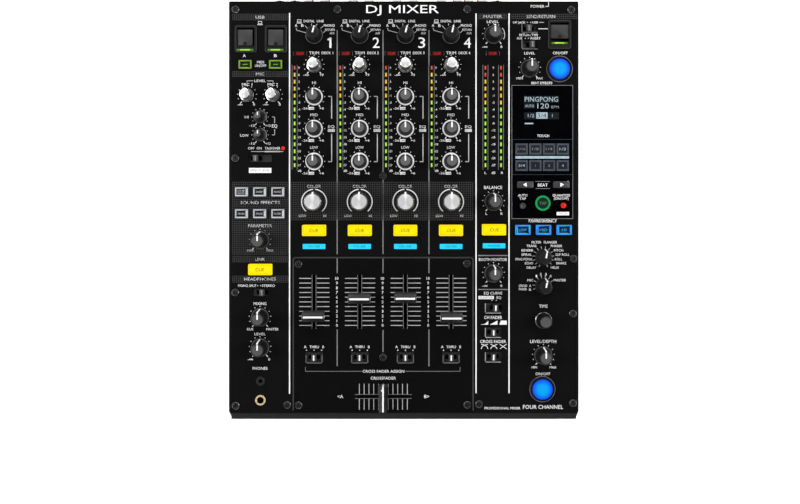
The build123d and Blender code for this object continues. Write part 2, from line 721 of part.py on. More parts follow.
# ---- knobs: a tapered, fluted cap on its round shaft ----
def make_knob(name, x, y, style, turn):
    """One knob at its place. Its pointer starts turned clockwise by turn degrees."""
    skirt_radius, top_radius, knob_height = knob_styles[style]
    heading = radians(90 - turn)
    upright = Plane(origin=(x, y, knob_base), x_dir=(cos(heading), sin(heading), 0), z_dir=(0, 0, 1))
    section = Plane(origin=(x, y, knob_base), x_dir=(1, 0, 0), z_dir=(0, -1, 0))
    with BuildPart() as knob:
        with BuildSketch(section):
            with BuildLine():
                Polyline(
                    (0, 0), (skirt_radius, 0), (skirt_radius, skirt_band),
                    (skirt_radius - 0.6, skirt_band + 0.4), (top_radius + 0.5, knob_height - top_edge),
                    (top_radius, knob_height), (0, knob_height), close=True,
                )
            make_face()
        revolve(axis=Axis((x, y, 0), (0, 0, 1)))
        with BuildSketch(upright.offset(skirt_band + 0.6)):
            with PolarLocations(skirt_radius - flute_depth + flute_radius - 0.4, flute_count, start_angle=15):
                Circle(flute_radius)
        extrude(amount=knob_height, mode=Mode.SUBTRACT)
        with BuildSketch(upright.offset(knob_height)):
            with Locations((top_radius / 2, 0)):
                Rectangle(top_radius, pointer_width)
        extrude(amount=-pointer_depth, mode=Mode.SUBTRACT)
        with BuildSketch(upright):
            Circle(shaft_radius + 0.02)
        extrude(amount=shaft_in_knob, mode=Mode.SUBTRACT)
        with BuildSketch(Plane((x, y, shaft_foot))):
            Circle(shaft_radius)
        extrude(amount=knob_base + shaft_in_knob - shaft_foot)
    save(knob, name)


for name, x, y, style, turn in knobs:
    make_knob(name, x, y, style, turn)


# ---- faders: a scooped cap on a flat lever ----
def make_fader(name, x, y, heading, width_across, length_along):
    """One fader at rest at x, y. It slides along heading, and its cap lies across it."""
    across = heading.cross(Vector(0, 0, 1))
    flat = Plane(origin=(x, y, cap_base), x_dir=heading, z_dir=(0, 0, 1))
    profile = Plane(origin=(x, y, cap_base), x_dir=heading, z_dir=across)
    half = length_along / 2
    waist = half * cap_waist / cap_length
    with BuildPart() as fader:
        with BuildSketch(profile):
            with BuildLine():
                Polyline(
                    (-half, 0), (half, 0), (waist, cap_height), (ridge * 2.2, cap_height - cap_scoop),
                    (ridge, cap_height - 0.4), (-ridge, cap_height - 0.4),
                    (-ridge * 2.2, cap_height - cap_scoop), (-waist, cap_height), close=True,
                )
            make_face()
        extrude(amount=width_across / 2, both=True)
        with BuildSketch(flat):
            Rectangle(lever_length, lever_width)
        extrude(amount=lever_foot - cap_base)
    save(fader, name)


for number, x in enumerate(channel_x, start=1):
    make_fader(f"channel_fader_{number}", x, fader_rest_y[number - 1], Vector(0, 1, 0), cap_width, cap_length)
make_fader("crossfader", cross_x, cross_y, Vector(1, 0, 0), cross_cap_length, cross_cap_width)


# ---- push buttons: keys that stand on the key switches and come up through the panel ----
button_height = panel_top + button_proud - button_foot
select_groups = ((effect_places, effect_size), (band_places, band_size),
                 (midi_places, midi_size), (arrow_places, arrow_size))

with BuildPart() as cue_buttons:
    with BuildSketch(Plane.XY.offset(button_foot)) as cue_keys:
        with Locations(*cue_places):
            RectangleRounded(*cue_size, 1.0)
    extrude(amount=button_height)
    fillet(cue_buttons.edges().group_by(Axis.Z)[-1], 0.5)
save(cue_buttons, "cue_buttons")

with BuildPart() as select_buttons:
    with BuildSketch(Plane.XY.offset(button_foot)) as select_keys:
        for places, size in select_groups:
            with Locations(*places):
                RectangleRounded(*size, 1.0)
    extrude(amount=button_height)
    fillet(select_buttons.edges().group_by(Axis.Z)[-1], 0.5)
save(select_buttons, "select_buttons")

with BuildPart() as round_buttons:
    with BuildSketch(Plane.XY.offset(button_foot)) as round_keys:
        for x, y, radius in (auto_button, tap_button, quantize_button, send_button, effect_button):
            with Locations((x, y)):
                Circle(radius)
    extrude(amount=button_height)
    fillet(round_buttons.edges().group_by(Axis.Z)[-1], 0.5)
save(round_buttons, "round_buttons")

# ---- slide switch levers: a grip above the well's floor and a stem down into the switch ----
for name, switches in (
    ("three_way_switches", assign_switches + centre_switches),
    ("two_way_switches", right_switches),
):
    lever_places = [(lever, y) for lever, x, y, well_width, well_length in switches]
    with BuildPart() as levers:
        with BuildSketch(Plane.XY.offset(switch_cap_base)) as grips:
            with Locations(*lever_places):
                Rectangle(*switch_cap)
        extrude(amount=switch_cap_top - switch_cap_base)
        fillet(levers.edges().group_by(Axis.Z)[-1], 0.4)
        with BuildSketch(Plane.XY.offset(switch_stem_foot)) as stems:
            with Locations(*lever_places):
                Rectangle(*switch_stem)
        extrude(amount=switch_cap_base - switch_stem_foot + 0.5)
    save(levers, name)

# ---- power button in the rear plate ----
with BuildPart() as power_button:
    with BuildSketch(place_xz(power_place[0], rear_inside - 4, power_place[1])) as power_key:
        RectangleRounded(power_size[0], power_size[1], 1.0)
    extrude(amount=rear_face - rear_inside + 4 + 5)
    fillet(power_button.edges().group_by(Axis.Y)[-1], 0.8)
save(power_button, "power_button")
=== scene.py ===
# %% [markdown]
# # A four-channel DJ mixer, seen from above
# The mixer is a flat steel box full of controls. This script starts from the CAD frame of the mixer
# and gives every part its real surface: powder-coated steel, screen-printed legends, moulded and
# machined knobs, lit keys, LED meters and a black glass display.
# Each cell says what a piece is on the real mixer, how it could be made, and why it is made this way.

from math import atan2, cos, degrees, hypot, pi, radians

import bmesh
import bpy
from mathutils import Matrix, Vector


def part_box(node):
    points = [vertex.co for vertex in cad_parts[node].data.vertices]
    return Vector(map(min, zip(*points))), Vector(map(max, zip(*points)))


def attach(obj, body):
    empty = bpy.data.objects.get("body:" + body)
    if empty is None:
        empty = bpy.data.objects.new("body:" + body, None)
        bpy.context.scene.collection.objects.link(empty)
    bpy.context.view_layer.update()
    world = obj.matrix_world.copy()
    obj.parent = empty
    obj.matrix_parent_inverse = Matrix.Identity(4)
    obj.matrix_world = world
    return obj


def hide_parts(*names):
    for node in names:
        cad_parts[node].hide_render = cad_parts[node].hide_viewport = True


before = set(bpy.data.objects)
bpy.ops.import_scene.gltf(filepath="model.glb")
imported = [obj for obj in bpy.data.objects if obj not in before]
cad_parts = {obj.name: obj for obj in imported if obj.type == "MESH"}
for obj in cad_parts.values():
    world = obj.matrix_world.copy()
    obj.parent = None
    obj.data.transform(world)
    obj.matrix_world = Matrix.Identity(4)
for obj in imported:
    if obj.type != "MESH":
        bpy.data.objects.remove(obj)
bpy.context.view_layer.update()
scene = bpy.context.scene
MM = 0.001
print("CAD nodes:", len(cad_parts))

# %% [markdown]
# ## Colours and shader nodes
# Colours are chosen the way a designer reads them, as six hex digits. A shader wants linear light,
# so one function converts them. A second small function adds any shader node with its settings and
# links, which keeps every material below a short list.

# %%
def linear(digits):
    """A colour written as six hex digits, as the linear colour that a shader wants."""
    parts = [int(digits[at:at + 2], 16) / 255 for at in (0, 2, 4)]
    parts = [part / 12.92 if part <= 0.04045 else ((part + 0.055) / 1.055) ** 2.4 for part in parts]
    return (*parts, 1.0)


def add_node(tree, kind, settings=None, links=None):
    """Add one shader node. Settings name its sockets or properties; links are {socket: (node, output)}."""
    node = tree.nodes.new("ShaderNode" + kind)
    for name, value in (settings or {}).items():
        if name == "stops":
            ramp = node.color_ramp
            for number, (place, colour) in enumerate(value):
                stop = ramp.elements[number] if number < 2 else ramp.elements.new(place)
                stop.position = place
                stop.color = colour
        elif name in node.inputs:
            node.inputs[name].default_value = value
        else:
            setattr(node, name, value)
    for name, (source, output) in (links or {}).items():
        tree.links.new(source.outputs[output], node.inputs[name])
    return node


def new_material(name):
    """An empty material and its node tree."""
    material = bpy.data.materials.new(name)
    material.use_nodes = True
    material.node_tree.nodes.clear()
    return material, material.node_tree


print("white in linear light:", linear("ffffff"))

# %% [markdown]
# ## Finishes with a grain
# Powder coat, moulded plastic, ink and rubber all share one build: a fine noise in millimetres drives
# two close colours, an uneven gloss and a slight relief. A flat single colour would look like plastic
# from a toy, because no real surface is that even.

# %%
def grained(name, colour, fleck, gloss, grain, relief, stretch=(1, 1, 1), **settings):
    """A surface with a fine grain. gloss is (lowest, highest) roughness, grain is in millimetres."""
    material, tree = new_material(name)
    place = add_node(tree, "TexCoord")
    spread = add_node(tree, "Mapping", {"Scale": stretch}, {"Vector": (place, "Object")})
    noise = add_node(tree, "TexNoise", {"Scale": 1000 / grain, "Detail": 3.0, "Roughness": 0.6},
                     {"Vector": (spread, "Vector")})
    tint = add_node(tree, "ValToRGB", {"stops": ((0.35, linear(colour)), (0.65, linear(fleck)))},
                    {"Fac": (noise, "Fac")})
    rough = add_node(tree, "MapRange", {"To Min": gloss[0], "To Max": gloss[1]}, {"Value": (noise, "Fac")})
    bump = add_node(tree, "Bump", {"Strength": relief, "Distance": 0.0001}, {"Height": (noise, "Fac")})
    shader = add_node(tree, "BsdfPrincipled", settings,
                      {"Base Color": (tint, "Color"), "Roughness": (rough, "Result"),
                       "Normal": (bump, "Normal")})
    add_node(tree, "OutputMaterial", None, {"Surface": (shader, "BSDF")})
    return material


# Polyester powder coat baked on to steel: a fine even texture, low gloss
powder_coat = grained("powder_coated_steel", "0b0b0b", "101010", (0.5, 0.62), 0.5, 0.25,
                      **{"Specular IOR Level": 0.015})
# The fader plate is a separate sheet with a smoother wet paint
plate_paint = grained("painted_steel_plate", "050505", "090909", (0.42, 0.5), 0.9, 0.1,
                      **{"Specular IOR Level": 0.06})
# The tray underneath gets a coarser powder coat, as hands hold it
tray_coat = grained("textured_powder_coat", "060606", "0e0e0e", (0.5, 0.7), 0.7, 0.5,
                    **{"Specular IOR Level": 0.15})
# Two-part epoxy ink squeezed through a screen
white_ink = grained("screen_printed_white_ink", "dcdcdc", "e8e8e8", (0.45, 0.6), 0.25, 0.1)
light_ink = grained("screen_printed_light_grey_ink", "a8a8a8", "b6b6b6", (0.45, 0.6), 0.25, 0.1)
grey_ink = grained("screen_printed_grey_ink", "6c6c6c", "7a7a7a", (0.45, 0.6), 0.25, 0.1)
dark_ink = grained("screen_printed_dark_grey_ink", "222222", "2a2a2a", (0.45, 0.6), 0.25, 0.1)
black_ink = grained("screen_printed_black_ink", "070707", "0d0d0d", (0.45, 0.6), 0.25, 0.1)
# Soft-touch black ABS of the knob bodies, spark-eroded tool finish
soft_black = grained("moulded_black_abs", "060606", "0e0e0e", (0.38, 0.5), 0.35, 0.2,
                     **{"Specular IOR Level": 0.3})
# Dark grey ABS of the fader caps and switch levers
dark_cap = grained("moulded_dark_grey_abs", "262626", "2e2e2e", (0.4, 0.52), 0.35, 0.2)
# Grey insert pressed into the top of the tone knobs
grey_top = grained("moulded_grey_insert", "4c4c4c", "565656", (0.35, 0.45), 0.3, 0.1)
# Darker insert of the level knobs
level_top = grained("moulded_dark_insert", "404040", "484848", (0.35, 0.45), 0.3, 0.1)
# White plastic shot into the pointer groove
white_plastic = grained("moulded_white_plastic", "e2e2e2", "f2f2f2", (0.3, 0.4), 0.4, 0.05)
# Chlorinated rubber of the feet
rubber = grained("moulded_rubber", "0a0a0a", "181818", (0.7, 0.9), 0.6, 0.5)
# Green solder resist over copper
solder_resist = grained("green_solder_resist", "0c3a1c", "12502a", (0.25, 0.4), 1.2, 0.1)
# Glass-filled nylon of the switch and potentiometer bodies
nylon = grained("glass_filled_nylon", "141414", "242424", (0.4, 0.6), 0.4, 0.3)
# Glossy black acrylic behind glass
black_glass = grained("black_backed_glass", "020203", "040406", (0.05, 0.09), 6.0, 0.02,
                      **{"Specular IOR Level": 0.3})
# Smoked acrylic lenses of the meters and lamps
smoked_lens = grained("smoked_acrylic", "0c0c0c", "151515", (0.12, 0.2), 2.0, 0.03)
# Screw heads: black oxide steel, flecked lighter grey
black_oxide = grained("black_oxide_steel", "3a3a3a", "707070", (0.2, 0.34), 0.6, 0.15, Metallic=0.9)
# Nickel-plated brass nuts and shells
nickel = grained("nickel_plated_brass", "b8b6b0", "cfcdc8", (0.16, 0.26), 0.5, 0.08, Metallic=1.0)
# Gold-plated ring of the large phones jack
gold = grained("gold_plated_brass", "d8bc88", "ecd4a8", (0.2, 0.3), 0.5, 0.08, Metallic=0.4)
# The slide-over cover of a USB port, a plain dark moulding
port_cover = grained("moulded_port_cover", "1e1e1e", "242424", (0.45, 0.55), 0.4, 0.2)
# Colour-coded phono insulators
red_insulator = grained("moulded_red_insulator", "8c1410", "a01a14", (0.3, 0.45), 0.5, 0.1)
white_insulator = grained("moulded_white_insulator", "c8c8c4", "dadad6", (0.3, 0.45), 0.5, 0.1)
print("grained finishes:", len(bpy.data.materials))

# %% [markdown]
# ## Turned metal
# Trim and filter knobs have tops turned on a lathe. The cutter leaves rings too fine to see one by one,
# but together they spread a light into two bright fans. The rings are drawn in a polar map, where one
# axis runs round the knob and the other out from its middle, and the shine is stretched round the knob.

# %%
def turned(name, colour, fleck, rough, ring, stretch, metal=1.0):
    """A turned or spun metal. ring is the pitch of the tool marks in millimetres."""
    material, tree = new_material(name)
    polar = add_node(tree, "UVMap", {"uv_map": "polar"})
    spread = add_node(tree, "Mapping", {"Scale": (2.0, 1 / ring, 1.0)}, {"Vector": (polar, "UV")})
    marks = add_node(tree, "TexNoise", {"Scale": 1.0, "Detail": 2.0}, {"Vector": (spread, "Vector")})
    tint = add_node(tree, "ValToRGB", {"stops": ((0.3, linear(colour)), (0.7, linear(fleck)))},
                    {"Fac": (marks, "Fac")})
    round_it = add_node(tree, "Tangent", {"direction_type": "UV_MAP", "uv_map": "polar"})
    bump = add_node(tree, "Bump", {"Strength": 0.15, "Distance": 0.00005}, {"Height": (marks, "Fac")})
    shader = add_node(tree, "BsdfPrincipled", {"Metallic": metal, "Roughness": rough, "Anisotropic": stretch},
                      {"Base Color": (tint, "Color"), "Tangent": (round_it, "Tangent"),
                       "Normal": (bump, "Normal")})
    add_node(tree, "OutputMaterial", None, {"Surface": (shader, "BSDF")})
    return material


# Aluminium cap faced on a lathe
turned_aluminium = turned("turned_aluminium", "d8d8d8", "f0f0f0", 0.34, 0.12, 0.85, 0.6)
# Aluminium sides with a satin anodised finish
satin_aluminium = turned("satin_anodised_aluminium", "9a9a9a", "b4b4b4", 0.36, 0.3, 0.4)
# Bright ring rolled round the base of the trim knobs
bright_ring = turned("diamond_cut_aluminium", "dcdcdc", "f0f0f0", 0.2, 0.2, 0.5)

# %% [markdown]
# ## Things that light up
# Keys, lamps and meters are clear or milky plastic with an LED behind. The light is strongest over the
# LED and falls off towards the edge, so the glow follows a slow noise, and on round keys the distance
# from the middle.

# %%
def lit(name, core, edge, strength, grain=6.0, round_from=None):
    """Milky plastic lit from behind. round_from is (inner, outer) millimetres on a round key."""
    material, tree = new_material(name)
    if round_from:
        polar = add_node(tree, "UVMap", {"uv_map": "polar"})
        apart = add_node(tree, "SeparateXYZ", None, {"Vector": (polar, "UV")})
        fade = add_node(tree, "MapRange", {"From Min": round_from[0], "From Max": round_from[1]},
                        {"Value": (apart, "Y")})
        drive = (fade, "Result")
        stops = ((0.0, linear(core)), (1.0, linear(edge)))
    else:
        place = add_node(tree, "TexCoord")
        noise = add_node(tree, "TexNoise", {"Scale": 1000 / grain, "Detail": 1.0}, {"Vector": (place, "Object")})
        drive = (noise, "Fac")
        stops = ((0.35, linear(core)), (0.65, linear(edge)))
    glow = add_node(tree, "ValToRGB", {"stops": stops}, {"Fac": drive})
    body = (*[0.12 * part for part in linear(edge)[:3]], 1.0)
    shader = add_node(tree, "BsdfPrincipled", {"Base Color": body, "Roughness": 0.4, "Specular IOR Level": 0.2,
                                              "Emission Strength": strength},
                      {"Emission Color": (glow, "Color")})
    add_node(tree, "OutputMaterial", None, {"Surface": (shader, "BSDF")})
    return material


# Silicone keypads and light pipes, each over its own LED colour
lit_yellow = lit("lit_yellow_silicone", "ffe600", "ffdc00", 1.0)
lit_orange = lit("lit_amber_rim", "f0b400", "e8a400", 0.9)
lit_cyan = lit("lit_cyan_lightguide", "18ccff", "28d8ff", 0.95)
lit_white = lit("lit_white_silicone", "d4d8dc", "c4cad0", 0.8)
lit_green = lit("lit_green_silicone", "7ca82c", "8ab834", 0.85)
lit_teal = lit("lit_teal_silicone", "109850", "18a860", 0.75)
lit_aqua = lit("lit_aqua_silicone", "28b4ff", "2c8cf8", 0.95)
lit_blue = lit("lit_blue_silicone", "00a8ff", "0050f0", 0.95, round_from=(97.0, 101.5))
navy_rim = lit("unlit_navy_silicone", "000428", "000838", 0.5)
lit_red = lit("lit_red_led", "e03428", "c82018", 0.9)
led_red = lit("red_meter_led", "f06050", "e84838", 0.9, 2.0)
red_glow = lit("red_meter_glow", "5c1410", "4c100c", 0.8, 2.0)
led_orange = lit("yellow_meter_led", "f4e04c", "f0c030", 0.95, 2.0)
orange_glow = lit("yellow_meter_glow", "8c6c14", "7c5c10", 0.8, 2.0)
led_green = lit("green_meter_led", "c4f458", "a4e840", 0.95, 2.0)
green_glow = lit("green_meter_glow", "4c8018", "3c7014", 0.8, 2.0)
lime_bar = lit("lime_light_bar", "d0f070", "a0d830", 0.95, 9.0)
lime_edge = lit("lime_light_edge", "5c9c00", "4c8800", 0.8, 9.0)
pale_pixels = lit("pale_display_pixels", "c0d4dc", "a8c0cc", 0.8, 3.0)
dim_pixels = lit("dim_display_pixels", "3c4a54", "303c46", 0.7, 3.0)
screen_grey = lit("unlit_display_area", "141a20", "10161c", 0.8, 3.0)
key_glow = lit("faintly_lit_key_frame", "50565e", "444a52", 0.8, 5.0)
key_face = lit("faintly_lit_key_face", "1c2028", "181c24", 0.8, 5.0)
print("materials:", len(bpy.data.materials))

# %% [markdown]
# ## Shaping tools
# Everything is modelled in millimetres and scaled once, when a piece is finished. A small part is made
# at the origin with mesh operators, and `drop_in` sets it in place inside a bigger piece.

# %%
INK_LOW = 90.5
INK_TOP = 90.54
GLASS_TOP = 90.6


def drop_in(target, part, x=0.0, y=0.0, z=0.0, turn=0.0, tilt=None):
    """Put a small part into a bigger mesh. turn is in degrees, clockwise seen from above."""
    place = Matrix.Translation((x, y, z)) @ Matrix.Rotation(-radians(turn), 4, "Z")
    bmesh.ops.transform(part, matrix=(tilt @ place) if tilt else place, verts=part.verts)
    holder = bpy.data.meshes.new("part")
    part.to_mesh(holder)
    part.free()
    target.from_mesh(holder)
    bpy.data.meshes.remove(holder)


def new_bm():
    """An empty mesh with the polar map that turned metal needs."""
    bm = bmesh.new()
    bm.loops.layers.uv.new("polar")
    return bm


def lathe(profile, slots=(0,), steps=48, start=0.0, sweep=360.0, closed=False):
    """Spin (radius, height) points about the upright axis, with one material slot for each segment."""
    part = new_bm()
    verts = [part.verts.new((0, radius, height)) for radius, height in profile]
    edges = [part.edges.new(pair) for pair in zip(verts, verts[1:])]
    if closed:
        edges.append(part.edges.new((verts[-1], verts[0])))
    bmesh.ops.rotate(part, verts=verts, cent=(0, 0, 0), matrix=Matrix.Rotation(-radians(start), 3, "Z"))
    bmesh.ops.spin(part, geom=verts + edges, cent=(0, 0, 0), axis=(0, 0, 1), angle=-radians(sweep),
                   steps=steps, use_merge=sweep == 360.0)
    bmesh.ops.remove_doubles(part, verts=part.verts, dist=0.0005)
    bmesh.ops.recalc_face_normals(part, faces=part.faces)
    reach = cos(radians(sweep / steps / 2))
    middles = [((a[0] + b[0]) / 2, (a[1] + b[1]) / 2) for a, b in zip(profile, profile[1:])]
    polar = part.loops.layers.uv["polar"]
    for face in part.faces:
        middle = face.calc_center_median()
        radius = hypot(middle.x, middle.y) / reach
        gaps = [hypot(radius - r, middle.z - z) for r, z in middles]
        if len(slots) > 1:
            face.material_index = slots[gaps.index(min(gaps))]
        else:
            face.material_index = slots[0]
        heading = atan2(middle.y, middle.x)
        for loop in face.loops:
            spot = loop.vert.co
            away = hypot(spot.x, spot.y)
            angle = atan2(spot.y, spot.x) if away > 0.001 else heading
            angle += 2 * pi * round((heading - angle) / (2 * pi))
            loop[polar].uv = (angle / (2 * pi), away + spot.z)
    return part


def ring(radius, width, low, high, slot=0, steps=40, start=0.0, sweep=360.0):
    """A flat ring or arc. Its angles run clockwise from the rear."""
    half = width / 2
    return lathe([(radius - half, low), (radius + half, low), (radius + half, high), (radius - half, high)],
                 (slot,), steps, start, sweep, closed=True)


def disc(radius, low, high, slot=0, steps=24):
    """A flat round plate."""
    return lathe([(0, low), (radius, low), (radius, high), (0, high)], (slot,), steps)


def block(width, length, low, high, corner=0.8, rim=0.3, slot=0):
    """A key or cap: rounded upright corners and a softened top rim."""
    part = new_bm()
    size = Matrix.Diagonal((width, length, high - low, 1))
    bmesh.ops.create_cube(part, size=1, matrix=Matrix.Translation((0, 0, (low + high) / 2)) @ size)
    if corner:
        upright = [edge for edge in part.edges if abs(edge.verts[0].co.z - edge.verts[1].co.z) > 0.01]
        bmesh.ops.bevel(part, geom=upright, offset=corner, segments=4, profile=0.5, affect="EDGES", material=-1)
    if rim:
        top = [edge for edge in part.edges if all(vert.co.z > high - 0.001 for vert in edge.verts)]
        bmesh.ops.bevel(part, geom=top, offset=rim, segments=2, profile=0.5, affect="EDGES", material=-1)
    for face in part.faces:
        face.material_index = slot
    return part


def inset_top(part, rings):
    """Divide the flat top of a part into frames: (width, slot) from the outside in, the last one whole."""
    top = max(part.faces, key=lambda face: (round(face.calc_center_median().z, 3), face.calc_area()))
    for width, slot in rings:
        if width is None:
            top.material_index = slot
        else:
            frame_faces = bmesh.ops.inset_region(part, faces=[top], thickness=width)["faces"]
            for face in frame_faces:
                face.material_index = slot
    return part


def bar(target, x, y, width, length, slot=0, low=INK_LOW, high=INK_TOP, turn=0.0):
    """A thin straight mark of ink or light."""
    place = Matrix.Translation((x, y, (low + high) / 2)) @ Matrix.Rotation(-radians(turn), 4, "Z")
    made = bmesh.ops.create_cube(target, size=1, matrix=place @ Matrix.Diagonal((width, length, high - low, 1)))
    for face in set(face for vert in made["verts"] for face in vert.link_faces):
        face.material_index = slot


def stroke(target, start, end, width, slot=0, low=INK_LOW, high=INK_TOP):
    """A straight mark between two points."""
    run = Vector(end) - Vector(start)
    bar(target, (start[0] + end[0]) / 2, (start[1] + end[1]) / 2, width, run.length, slot, low, high,
        turn=degrees(atan2(run.x, run.y)))


def outline(target, left, right, front, rear, width, slot=0, low=INK_LOW, high=INK_TOP):
    """Four marks round a rectangle."""
    for y in (front, rear):
        bar(target, (left + right) / 2, y, right - left + width, width, slot, low, high)
    for x in (left, right):
        bar(target, x, (front + rear) / 2, width, rear - front - width, slot, low, high)


def letter_mesh(text, thickness):
    """Letters one unit tall at the origin, as a mesh; words() centres them."""
    curve = bpy.data.curves.new("letters", "FONT")
    curve.body = text
    curve.resolution_u = 2
    curve.extrude = thickness / 2
    holder = bpy.data.objects.new("letters", curve)
    mesh = bpy.data.meshes.new_from_object(holder)
    bpy.data.objects.remove(holder)
    bpy.data.curves.remove(curve)
    return mesh


capital = letter_mesh("H", 0.0)
CAP_HEIGHT = max(vert.co.y for vert in capital.vertices)
bpy.data.meshes.remove(capital)


def words(target, text, x, y, height, slot=0, width=None, z=INK_LOW + 0.02, tilt=None, align=0.0, thick=0.04):
    """Print a word centred on x, y. align -1 starts it at x, 1 ends it there."""
    size = height / CAP_HEIGHT
    mesh = letter_mesh(text, thick / size)
    spread = [vert.co.x for vert in mesh.vertices]
    left, right = min(spread), max(spread)
    stretch = width / ((right - left) * size) if width else 1.0
    middle = (left + right) / 2 + align * (right - left) / 2
    place = Matrix.Translation((x, y - height / 2, z)) @ Matrix.Diagonal((size * stretch, size, size, 1))
    place = place @ Matrix.Translation((-middle, 0, 0))
    mesh.transform((tilt @ place) if tilt else place)
    for polygon in mesh.polygons:
        polygon.material_index = slot
    target.from_mesh(mesh)
    bpy.data.meshes.remove(mesh)


def piece(bm, name, body, materials, replaced=(), recalc=True):
    """Finish a piece: outward normals, metres, smooth sides with crisp edges, and its place in the frame."""
    if recalc:
        bmesh.ops.recalc_face_normals(bm, faces=bm.faces)
    bmesh.ops.transform(bm, matrix=Matrix.Scale(MM, 4), verts=bm.verts)
    mesh = bpy.data.meshes.new(name)
    bm.to_mesh(mesh)
    bm.free()
    for material in materials:
        mesh.materials.append(material)
    mesh.shade_smooth()
    for polygon in mesh.polygons:
        polygon.use_smooth = abs(polygon.normal.z) < 0.999
    mesh.set_sharp_from_angle(angle=radians(32))
    made = bpy.data.objects.new(name, mesh)
    scene.collection.objects.link(made)
    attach(made, body)
    if replaced:
        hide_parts(*replaced)
    return made


def middle_of(node):
    """The middle of a CAD node seen from above, in millimetres."""
    low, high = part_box(node)
    return ((low.x + high.x) / 2 / MM, (low.y + high.y) / 2 / MM)


print("capital height of the letters:", round(CAP_HEIGHT, 3))

# %% [markdown]
# ## The steelwork, boards and sockets
# These CAD parts already have their true shape. They only need their finish. Where one CAD part is
# several materials on the real mixer, such as the sockets, its faces are given to different materials
# by where they are.

# %%
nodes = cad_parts
for name, material in (
    ("base_tray", tray_coat), ("top_panel", powder_coat), ("fader_plate", plate_paint),
    ("rear_plate", tray_coat), ("rubber_feet", rubber), ("panel_screws", black_oxide),
    ("circuit_boards", solder_resist), ("control_bodies", nylon), ("windows", smoked_lens),
    ("power_button", soft_black),
):
    nodes[name].data.materials.clear()
    nodes[name].data.materials.append(material)

channel_x = [-85.15, -41.8, 1.55, 44.9]
glass = nodes["windows"].data
glass.materials.append(black_glass)
for polygon in glass.polygons:
    if polygon.center.x > 0.1024:
        polygon.material_index = 1

shells = nodes["sockets"].data
shells.materials.clear()
for material in (port_cover, nickel, gold, soft_black, red_insulator, white_insulator):
    shells.materials.append(material)
for polygon in shells.polygons:
    x, y, z = polygon.center / MM
    if y < 190 and z > 60 and y > 100:
        kind = 3
    elif y < -174:
        kind = 2 if z > 90 else 3
    elif y < -100:
        kind = 1 if z > 90 else 3
    elif y > 195.8 and z > 50 and (min(abs(abs(x - c) - 8.0) for c in channel_x) < 4.3 or 58 < x < 80):
        kind = 4 if z < 62 else 5
    elif y > 194 and ((x > 72 and z < 44) or (x < -130 and z > 48)):
        kind = 3
    elif y > 194:
        kind = 1
    else:
        kind = 3
    polygon.material_index = kind
print("finished CAD nodes:", sum(1 for node in nodes.values() if node.data.materials))

# %% [markdown]
# ## Knobs
# A knob is a moulded cap on a steel shaft: a round skirt, a tapered grip with flutes for the fingers,
# and an insert or a turned disc on top. Each style is one lathe profile. Every other face of the grip
# is pressed in to make the flutes, and the pointer is a ribbon of white plastic that runs from the top
# over the rim and down the side, so that it can be read from any angle.

# %%
KNOB_BASE = 91.2


def flute(part, low, high, depth, slot):
    """Press in every other face of the grip between two heights."""
    grip = [face for face in part.faces if low < face.calc_center_median().z < high and abs(face.normal.z) < 0.4]
    grip.sort(key=lambda face: atan2(face.calc_center_median().y, face.calc_center_median().x))
    bmesh.ops.inset_individual(part, faces=grip[::2], thickness=0.12, depth=-depth)
    for face in grip:
        face.material_index = slot


def ribbon(points, width, thickness, slot):
    """A strip that follows (y, z) points, such as a pointer line."""
    part = new_bm()
    verts = [part.verts.new((-width / 2, y, z)) for y, z in points]
    edges = [part.edges.new(pair) for pair in zip(verts, verts[1:])]
    grown = bmesh.ops.extrude_edge_only(part, edges=edges)["geom"]
    bmesh.ops.translate(part, vec=(width, 0, 0), verts=[v for v in grown if isinstance(v, bmesh.types.BMVert)])
    bmesh.ops.recalc_face_normals(part, faces=part.faces)
    bmesh.ops.solidify(part, geom=part.faces[:], thickness=thickness)
    for face in part.faces:
        face.material_index = slot
    return part


def tall_knob(skirt, top, height, insert):
    """A fluted cap with an insert in its top. Slots: 0 body, 1 insert, 2 pointer, 3 foot ring."""
    part = lathe([(0, 0), (skirt, 0), (skirt, 1.4), (skirt - 0.25, 2.0), (skirt - 0.6, 2.5), (top + 0.95, height - 1.0),
                  (top + 0.7, height - 0.3), (top + 0.2, height), (insert, height), (insert - 0.15, height - 0.18),
                  (0, height - 0.18)], (0, 3, 3, 0, 0, 0, 0, 0, 1, 1), 48)
    flute(part, 3.0, height - 1.2, 0.35, 0)
    knob = new_bm()
    drop_in(knob, part)
    drop_in(knob, ribbon([(0.0, height - 0.22), (top + 0.5, height - 0.2), (top + 1.3, height - 0.9),
                          (skirt - 0.4, 2.5), (skirt + 0.05, 1.7)], 1.35, -0.2, 2))
    return knob


def silver_knob(skirt, top, height):
    """A machined cap with a bright base ring. Slots: 0 sides, 1 turned top, 2 pointer, 3 bright ring."""
    part = lathe([(0, 0), (skirt, 0), (skirt, 0.9), (skirt - 0.5, 1.5), (skirt - 1.3, 1.7), (skirt - 1.5, 2.1),
                  (top + 0.35, height - 0.8), (top + 0.1, height - 0.2), (top - 0.3, height), (0, height - 0.05)],
                 (3, 3, 3, 3, 0, 0, 3, 3, 1), 48)
    flute(part, 3.0, height - 1.0, 0.4, 0)
    knob = new_bm()
    drop_in(knob, part)
    drop_in(knob, ribbon([(1.0, height + 0.04), (top + 0.4, height + 0.02), (top + 0.9, height - 0.9),
                          (skirt - 1.2, 2.2)], 1.3, -0.2, 2))
    return knob


